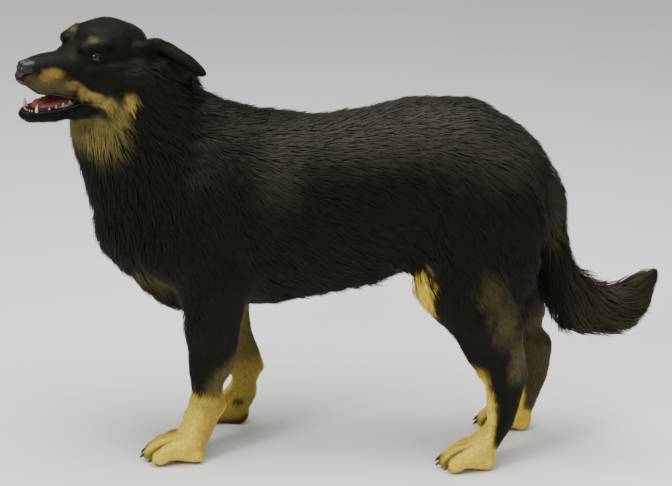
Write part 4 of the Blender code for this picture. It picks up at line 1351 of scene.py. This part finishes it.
# %% [markdown]
# ## Tongue
#
# The tongue fills the floor of the lower jaw, thin at the tip and grooved along its middle. A
# squashed sphere would be too plain, so it is a line of beads, remeshed finely so that the groove
# and the raised edges can be formed.

# %% Tongue
TONGUE_GRAIN = 0.0010
TONGUE_BEADS = (
    ((-0.030, 0.0, -0.0690), (0.030, 0.0200, 0.0088)),
    ((0.030, 0.0, -0.0605), (0.026, 0.0175, 0.0085)),
    ((0.062, 0.0, -0.0575), (0.0160, 0.0138, 0.0070)),
)
TONGUE_GROOVE = 0.0020
TONGUE_EDGE = 0.0016
TONGUE_BUMPS = 0.0005


def tongue():
    flesh = fused_beads("tongue_flesh", TONGUE_BEADS, TONGUE_GRAIN)
    at = places_of(flesh.data)
    across = np.abs(at[:, 1])
    on_top = soft_step(-0.064, -0.058, at[:, 2])
    groove = fall(0.0005, 0.0040, across) * on_top * soft_step(0.082, 0.060, at[:, 0])
    at[:, 2] -= TONGUE_GROOVE * groove
    at[:, 2] += TONGUE_EDGE * soft_step(0.006, 0.012, across) * on_top
    at[:, 2] += TONGUE_BUMPS * ripple(at, 0.006, 31) * on_top
    set_places(flesh.data, at)
    return taken_into(jaw_axes, flesh)


TONGUE_PAINT = make_wet_skin("tongue_paint", (0.200, 0.060, 0.055), 0.32, 900.0, 0.5)
add_piece("tongue_flesh", tongue(), TONGUE_PAINT, "mouth", "tongue")

# %% [markdown]
# ## Teeth
#
# A canine is a curved cone; the front teeth are small pegs; a cheek tooth has three points. A cone
# primitive cannot bend, so each tooth or point is a round face extruded up a bent path and drawn in.
# Each jaw's teeth are one piece.

# %% How a tooth is made
TOOTH_SIDES = 10
TOOTH_PROFILE = (
    # share of the height, share of the width
    (0.0, 1.0),
    (0.25, 0.98),
    (0.5, 0.82),
    (0.75, 0.54),
    (0.93, 0.24),
    (1.0, 0.04),
)


def add_tooth(bm, root, tip, width, thickness, bend, axes):
    """A tooth from root to tip. bend bows it, and width runs along the jaw."""
    root, tip, bend = Vector(root), Vector(tip), Vector(bend)
    rise = (tip - root).normalized()
    along = Vector((1.0, 0.0, 0.0))
    along = (along - along.project(rise)).normalized()
    across = rise.cross(along)
    start = bmesh.ops.create_circle(bm, segments=TOOTH_SIDES, radius=1.0, cap_ends=True)
    face = start["verts"][0].link_faces[0]
    spokes = [(loop.vert.co.x, loop.vert.co.y) for loop in face.loops]
    for share, girth in TOOTH_PROFILE:
        if share:
            face = bmesh.ops.extrude_discrete_faces(bm, faces=[face])["faces"][0]
        centre = root.lerp(tip, share) + bend * math.sin(math.pi * share)
        for loop, (x, y) in zip(face.loops, spokes):
            spoke = along * (x * width * girth) + across * (y * thickness * girth)
            loop.vert.co = axes @ (centre + spoke)


def tooth_row(teeth, axes):
    bm = bmesh.new()
    for tooth in teeth:
        add_tooth(bm, *tooth, axes)
    bmesh.ops.recalc_face_normals(bm, faces=bm.faces)
    return mesh_from("teeth", bm)

# %% The teeth
LOWER_CUSPS = ((-0.40, 0.55), (0.0, 1.0), (0.40, 0.5))
UPPER_CUSPS = ((-0.38, 0.5), (0.0, 1.0), (0.38, 0.55))
STRAIGHT = (0.0, 0.0, 0.0)


def lower_teeth():
    teeth = []
    for side in (-1.0, 1.0):
        root = (0.0790, side * 0.0115, -0.0640)
        tip = (0.0812, side * 0.0160, -0.0450)
        teeth.append((root, tip, 0.0040, 0.0031, (0.0022, side * 0.0012, 0.0)))
        for place in range(3):
            across = side * (0.0022 + 0.0042 * place)
            front = 0.0935 - 0.0016 * place
            root = (front - 0.004, across, -0.0640)
            tip = (front - 0.002, across, -0.0548)
            teeth.append((root, tip, 0.0021, 0.0018, (0.0004, 0.0, 0.0)))
        for place in range(5):
            along = 0.058 - 0.0125 * place
            size = 1.0 + 0.16 * place
            out = side * (0.0155 + 0.0012 * place)
            for cusp, height in LOWER_CUSPS:
                root = (along + cusp * 0.0110 * size, out, -0.0675)
                tip = (along + cusp * 0.0120 * size, out, -0.0655 + 0.0082 * height * size)
                teeth.append((root, tip, 0.0034 * size, 0.0026, STRAIGHT))
    return teeth


def upper_teeth():
    teeth = []
    for side in (-1.0, 1.0):
        root = (0.0800, side * 0.0150, -0.0480)
        tip = (0.0800, side * 0.0172, -0.0625)
        teeth.append((root, tip, 0.0048, 0.0038, (0.0012, side * 0.0008, 0.0)))
        for place in range(4):
            along = 0.052 - 0.0150 * place
            size = 1.0 + 0.14 * place
            out = side * (0.0185 + 0.0019 * place)
            for cusp, height in UPPER_CUSPS:
                root = (along + cusp * 0.0120 * size, out, -0.0530)
                tip = (along + cusp * 0.0130 * size, out, -0.0600 - 0.0070 * height * size)
                teeth.append((root, tip, 0.0036 * size, 0.0028, STRAIGHT))
    return teeth


TOOTH_PAINT = make_wet_skin("tooth_paint", (0.50, 0.43, 0.27), 0.22, 260.0, 0.15)
add_piece("lower_teeth", tooth_row(lower_teeth(), jaw_axes), TOOTH_PAINT, "mouth")
add_piece("upper_teeth", tooth_row(upper_teeth(), head_axes), TOOTH_PAINT, "mouth")

# %% [markdown]
# ## Lips
#
# The lips are a black, wet rim on both jaws. A curve with a round bevel is laid on the skin along
# each edge, half sunk into it, and is then made a mesh, which is quicker and smoother than pulling
# a ridge out of the skin.

# %% Lips
UPPER_LIP = (
    (0.111, 0.000, -0.0540), (0.107, 0.010, -0.0550), (0.096, 0.020, -0.0590),
    (0.084, 0.024, -0.0640), (0.060, 0.030, -0.0655), (0.036, 0.034, -0.0670),
    (0.010, 0.036, -0.0730), (-0.014, 0.036, -0.0800), (-0.024, 0.040, -0.0820),
    (-0.033, 0.043, -0.0835),
)
LOWER_LIP = (
    (0.1000, 0.0000, -0.0595), (0.0950, 0.0095, -0.0590), (0.0840, 0.0155, -0.0595),
    (0.0600, 0.0205, -0.0610), (0.0350, 0.0265, -0.0615), (0.0100, 0.0320, -0.0600),
    (-0.0080, 0.0350, -0.0570), (-0.0200, 0.0360, -0.0555), (-0.0260, 0.0400, -0.0600),
    (-0.0300, 0.0430, -0.0680),
)
LIP_THICKNESS = 0.0022
LIP_PAINT = make_wet_skin("lip_paint", (0.008, 0.006, 0.006), 0.42, 700.0, 0.5, 0.3)


def on_skin_line(edge, axes):
    """Both sides of an edge line, moved onto the skin."""
    both = [(x, -y, z) for x, y, z in reversed(edge[1:])] + list(edge)
    return [skin_tree.find_nearest(axes @ Vector(place))[0] for place in both]


def lip(name, edge, axes):
    curve = bpy.data.curves.new(name, "CURVE")
    curve.dimensions = "3D"
    curve.bevel_depth = LIP_THICKNESS
    curve.bevel_resolution = 3
    curve.use_fill_caps = True
    stops = on_skin_line(edge, axes)
    line = curve.splines.new("NURBS")
    line.points.add(len(stops) - 1)
    for point, place in zip(line.points, stops):
        point.co = (*place, 1.0)
    line.points[0].radius = 0.5
    line.points[-1].radius = 0.5
    line.use_endpoint_u = True
    line.order_u = 3
    line.resolution_u = 8
    holder = add_object(name + "_curve", curve)
    graph = bpy.context.evaluated_depsgraph_get()
    mesh = bpy.data.meshes.new_from_object(holder.evaluated_get(graph))
    bpy.data.objects.remove(holder)
    return mesh


add_piece("upper_lip", lip("upper_lip", UPPER_LIP, head_axes), LIP_PAINT, "nose_leather")
add_piece("lower_lip", lip("lower_lip", LOWER_LIP, jaw_axes), LIP_PAINT, "nose_leather")

# %% [markdown]
# ## Claws
#
# Each toe ends in a short, dark claw that curves down to the floor. It could be a bent cone with a
# modifier, but it is the same shape as a canine, so it is made by the same helper, one for each of
# the toes above. Each paw's claws are one piece.

# %% Claws
def claws(name):
    length, width = PAWS[name][3]
    bm = bmesh.new()
    for place in TOE_PLACES:
        reach = length * (1.0 if abs(place) < 1.0 else OUTER_TOE)
        across = place * width / 4.0
        root = (-reach + 0.008, across, 0.0140)
        tip = (-reach - 0.0050, across, 0.0055)
        add_tooth(bm, root, tip, 0.0036, 0.0026, (-0.0010, 0.0, 0.0022), paw_axes(name))
    bmesh.ops.recalc_face_normals(bm, faces=bm.faces)
    return mesh_from("claws", bm)


CLAW_PAINT = make_wet_skin("claw_paint", (0.030, 0.022, 0.016), 0.30, 500.0, 0.2)
for name in PAWS:
    add_piece("claws_" + name[4:], claws(name), CLAW_PAINT, "nose_leather")

# %% [markdown]
# ## The coat
#
# Every tuft is a thin closed blade: an edge for a root, a three-sided middle and a point. Its root
# sits in the skin, it follows the lie of the coat along the surface, and it rises about as far as
# the coat is deep. Strands of a particle system would not survive an export, so the blades are
# plain mesh, built as whole arrays and put into a few large pieces.

# %% An unwrap of the skin for the tufts' colours
UNWRAP_SHARE = 0.08
UNWRAP_ANGLE = math.radians(66.0)
UNWRAP_GAP = 0.004


def skin_unwrap():
    """A light copy of the skin with its own unwrap, and a tree to find places on it."""
    guide = add_object("unwrap_guide", skin.data.copy())
    light = guide.modifiers.new("light", "DECIMATE")
    light.ratio = UNWRAP_SHARE
    settle(guide)
    bpy.context.view_layer.objects.active = guide
    guide.select_set(True)
    bpy.ops.object.mode_set(mode="EDIT")
    bpy.ops.mesh.select_all(action="SELECT")
    bpy.ops.uv.smart_project(angle_limit=UNWRAP_ANGLE, island_margin=UNWRAP_GAP)
    bpy.ops.object.mode_set(mode="OBJECT")
    mesh = guide.data
    corners, loops = triangles_of(mesh)
    flat = np.empty(len(mesh.loops) * 2)
    mesh.uv_layers.active.data.foreach_get("uv", flat)
    uvs = flat.reshape(-1, 2)[loops]
    points = places_of(mesh)
    tree = BVHTree.FromPolygons(points.tolist(), corners.tolist())
    bpy.data.objects.remove(guide)
    return tree, points[corners], uvs


unwrap_tree, unwrap_corners, unwrap_uvs = skin_unwrap()
print("unwrap guide:", len(unwrap_uvs), "triangles")


def unwrap_at(roots):
    """Where roots lie on the unwrap of the skin."""
    spots = np.empty((len(roots), 2))
    for count, root in enumerate(roots):
        place, _, face, _ = unwrap_tree.find_nearest(root)
        a, b, c = unwrap_corners[face]
        ab, ac, ap = b - a, c - a, np.array(place) - a
        d00, d01, d11 = ab @ ab, ab @ ac, ac @ ac
        d20, d21 = ap @ ab, ap @ ac
        base = max(d00 * d11 - d01 * d01, 1e-18)
        v = (d11 * d20 - d01 * d21) / base
        w = (d00 * d21 - d01 * d20) / base
        spots[count] = unwrap_uvs[face].T @ np.array((1.0 - v - w, v, w))
    return spots

# %% Where tufts grow
COAT_SEED = 5
TUFT_BUDGET = 180000
LAYERS = 4.0  # how many tufts should cover each spot of the skin
DENSEST = 380000.0  # tufts on a square metre, where hairs are short
WIDTH_SHARE = 0.072  # width of a tuft, next to its length
NARROWEST = 0.0006
WIDEST = 0.0021
EYE_CLEARING = 0.0096
NOSE_CLEARING = 0.0170
NOSE_MIDDLE = np.array((0.103, 0.0, -0.030))
SOLE_HEIGHT = 0.003


def hair_width(length):
    return np.clip(WIDTH_SHARE * length, NARROWEST, WIDEST)


def tuft_need(at):
    """Tufts wanted on a square metre of skin, at some places."""
    _, length, _ = coat_at(at)
    need = np.minimum(LAYERS / (0.6 * length * hair_width(length)), DENSEST)
    need *= 1.0 - bare_share(at)
    local = into(head_axes, at)
    for side, gaze in GAZE.items():
        eye = np.array((EYE_PLACE.x, side * EYE_PLACE.y, EYE_PLACE.z)) + 0.008 * np.array(gaze)
        need *= np.linalg.norm(local - eye, axis=1) > EYE_CLEARING
    off_nose = np.linalg.norm((local - NOSE_MIDDLE) * (1.0, 1.0, 1.3), axis=1)
    need *= off_nose > NOSE_CLEARING
    return need * (at[:, 2] > SOLE_HEIGHT)


def grow_roots():
    """Roots and their normals, spread over the skin by need."""
    dice = np.random.default_rng(COAT_SEED)
    a, b, c = (skin_places[skin_triangles[:, corner]] for corner in range(3))
    area = 0.5 * np.linalg.norm(np.cross(b - a, c - a), axis=1)
    wanted = tuft_need((a + b + c) / 3.0) * area
    wanted *= min(1.0, TUFT_BUDGET / wanted.sum())
    number = np.floor(wanted + dice.random(len(wanted))).astype(int)
    face = np.repeat(np.arange(len(number)), number)
    u, v = dice.random(len(face)), dice.random(len(face))
    flip = u + v > 1.0
    u[flip], v[flip] = 1.0 - u[flip], 1.0 - v[flip]
    shares = np.column_stack([1.0 - u - v, u, v])
    corners = skin_triangles[face]
    root = np.einsum("nc,nck->nk", shares, skin_places[corners])
    normal = np.einsum("nc,nck->nk", shares, skin_normals[corners])
    return root, unit(normal)


roots, facing = grow_roots()
print("tufts:", len(roots))

# %% The blades
def on_skin(points):
    """The nearest places on the skin, with its normals there."""
    near = np.empty((len(points), 3))
    out = np.empty((len(points), 3))
    for count, point in enumerate(points):
        place, normal, _, _ = skin_tree.find_nearest(point)
        near[count] = place
        out[count] = normal
    return near, out


BLADE_FACES = np.array((
    (0, 3, 1), (0, 2, 3), (1, 3, 4), (0, 4, 2),
    (0, 1, 4), (2, 5, 3), (3, 5, 4), (4, 5, 2),
))
BLADE_POINTS = 6
SIDE_TURN = 0.45  # how far the normals at a tuft's edges lean outwards from the skin's own
LENGTH_SPREAD = (0.75, 1.2)
LIFT_SPREAD = (0.55, 1.0)
WIDTH_SPREAD = (0.75, 1.2)
LOCK_STRAY = 0.15  # how far whole locks stray from the stream
TUFT_STRAY = 0.06  # how far each tuft strays from its lock
ROOT_SINK = 0.0005
ROOT_WIDTH = 0.7  # next to the width of the middle
MIDDLE_LIFT = 0.62  # next to the lift of the tip
RIDGE = 0.4  # how high the middle's ridge stands, next to half its width
DROOP = 0.2  # how far the middle's edges hang, next to half its width
# Painted shade darkens the root of each tuft, inside the coat, and painted sheen lightens its tip.
BLADE_SHADE_AND_SHEEN = np.array((0.55, 0.55, 0.95, 1.0, 0.95, 1.25))  # darker at the root, lighter at the tip


def blades(root, out, dice):
    """The points of each tuft and their normals: two in the skin, three midway and the tip."""
    count = len(root)
    depth, length, stream = coat_at(root)
    length = length * dice.uniform(*LENGTH_SPREAD, count)
    wander = LOCK_STRAY * np.column_stack([ripple(root, 0.040, 40 + axis) for axis in range(3)])
    wander += dice.normal(scale=TUFT_STRAY, size=(count, 3))
    way = stream + wander
    way = unit(way - out * np.sum(way * out, axis=1)[:, None])
    middle_skin, middle_out = on_skin(root + way * (0.5 * length)[:, None])
    tip_skin, tip_out = on_skin(root + way * length[:, None])
    ragged = 0.10 + 0.35 * soft_step(0.0115, 0.0145, depth)  # a deep coat is the more ragged
    lift = depth * dice.uniform(*LIFT_SPREAD, count) * (1.0 + ragged * ripple(root, 0.022, 50))
    half = 0.5 * hair_width(length) * dice.uniform(*WIDTH_SPREAD, count)
    side_way = unit(np.cross(way, out))
    base = root - out * ROOT_SINK
    middle = middle_skin + middle_out * (MIDDLE_LIFT * lift)[:, None]
    wide = side_way * half[:, None]
    points = np.empty((count, BLADE_POINTS, 3))
    points[:, 0] = base + ROOT_WIDTH * wide
    points[:, 1] = base - ROOT_WIDTH * wide
    points[:, 2] = middle + wide
    points[:, 3] = middle + middle_out * (RIDGE * half)[:, None]
    points[:, 4] = middle - wide
    points[:, 5] = tip_skin + tip_out * lift[:, None]
    points[:, 2:5:2] -= (middle_out * (DROOP * half)[:, None])[:, None]
    normals = np.empty_like(points)
    normals[:, 0] = out + SIDE_TURN * side_way
    normals[:, 1] = out - SIDE_TURN * side_way
    normals[:, 2] = middle_out + SIDE_TURN * side_way
    normals[:, 3] = middle_out
    normals[:, 4] = middle_out - SIDE_TURN * side_way
    normals[:, 5] = tip_out
    return points, normals / np.linalg.norm(normals, axis=2)[:, :, None]

# %% One piece of the coat
PATCH = 0.003  # how wide a tuft's patch is on the unwrap
BLADE_OUTLINE = ((0.2, 0.0), (0.8, 0.0), (0.0, 0.5), (0.5, 0.5), (1.0, 0.5), (0.5, 1.0))
BLADE_PATCH = PATCH * (np.array(BLADE_OUTLINE) - 0.5)
SHADE_SPREAD = 0.13  # how much one tuft is lighter or darker than the next


def coat_piece(name, root, out, seed):
    """One piece of the coat as a mesh object."""
    dice = np.random.default_rng(seed)
    points, normals = blades(root, out, dice)
    count = len(root)
    faces = (np.arange(count)[:, None, None] * BLADE_POINTS + BLADE_FACES[None]).reshape(-1, 3)
    mesh = bpy.data.meshes.new(name)
    mesh.vertices.add(count * BLADE_POINTS)
    mesh.vertices.foreach_set("co", points.astype(np.float32).ravel())
    mesh.loops.add(len(faces) * 3)
    mesh.loops.foreach_set("vertex_index", faces.astype(np.int32).ravel())
    mesh.polygons.add(len(faces))
    mesh.polygons.foreach_set("loop_start", np.arange(0, len(faces) * 3, 3, dtype=np.int32))
    mesh.update(calc_edges=True)
    shade = np.clip(dice.normal(1.0, SHADE_SPREAD, count), 0.6, 1.5)
    # Each tuft's random tone, times the painted shade at its root and the painted sheen at its tip.
    shades = (shade[:, None] * BLADE_SHADE_AND_SHEEN).reshape(-1, 1)
    store_colours(mesh, np.repeat(coat_colour(root), BLADE_POINTS, axis=0) * shades)
    uvs = mesh.uv_layers.new(name="OFBake")
    corner_uvs = unwrap_at(root)[faces // BLADE_POINTS] + BLADE_PATCH[faces % BLADE_POINTS]
    uvs.data.foreach_set("uv", corner_uvs.astype(np.float32).ravel())
    piece = add_piece(name, mesh, HAIR_PAINT, "black_coat")
    mesh.normals_split_custom_set_from_vertices(normals.reshape(-1, 3).tolist())
    return piece

# %% The whole coat
PIECE_TUFTS = 24000
FIRST_PIECE_SEED = 200
order = np.lexsort((roots[:, 2], np.round(roots[:, 0], 1)))
pieces = max(1, math.ceil(len(order) / PIECE_TUFTS))
total = 0
for number, chosen in enumerate(np.array_split(order, pieces)):
    seed = FIRST_PIECE_SEED + number
    made = coat_piece(f"coat_{number + 1}", roots[chosen], facing[chosen], seed)
    total += len(made.data.polygons)
print("coat:", pieces, "pieces,", total, "triangles")
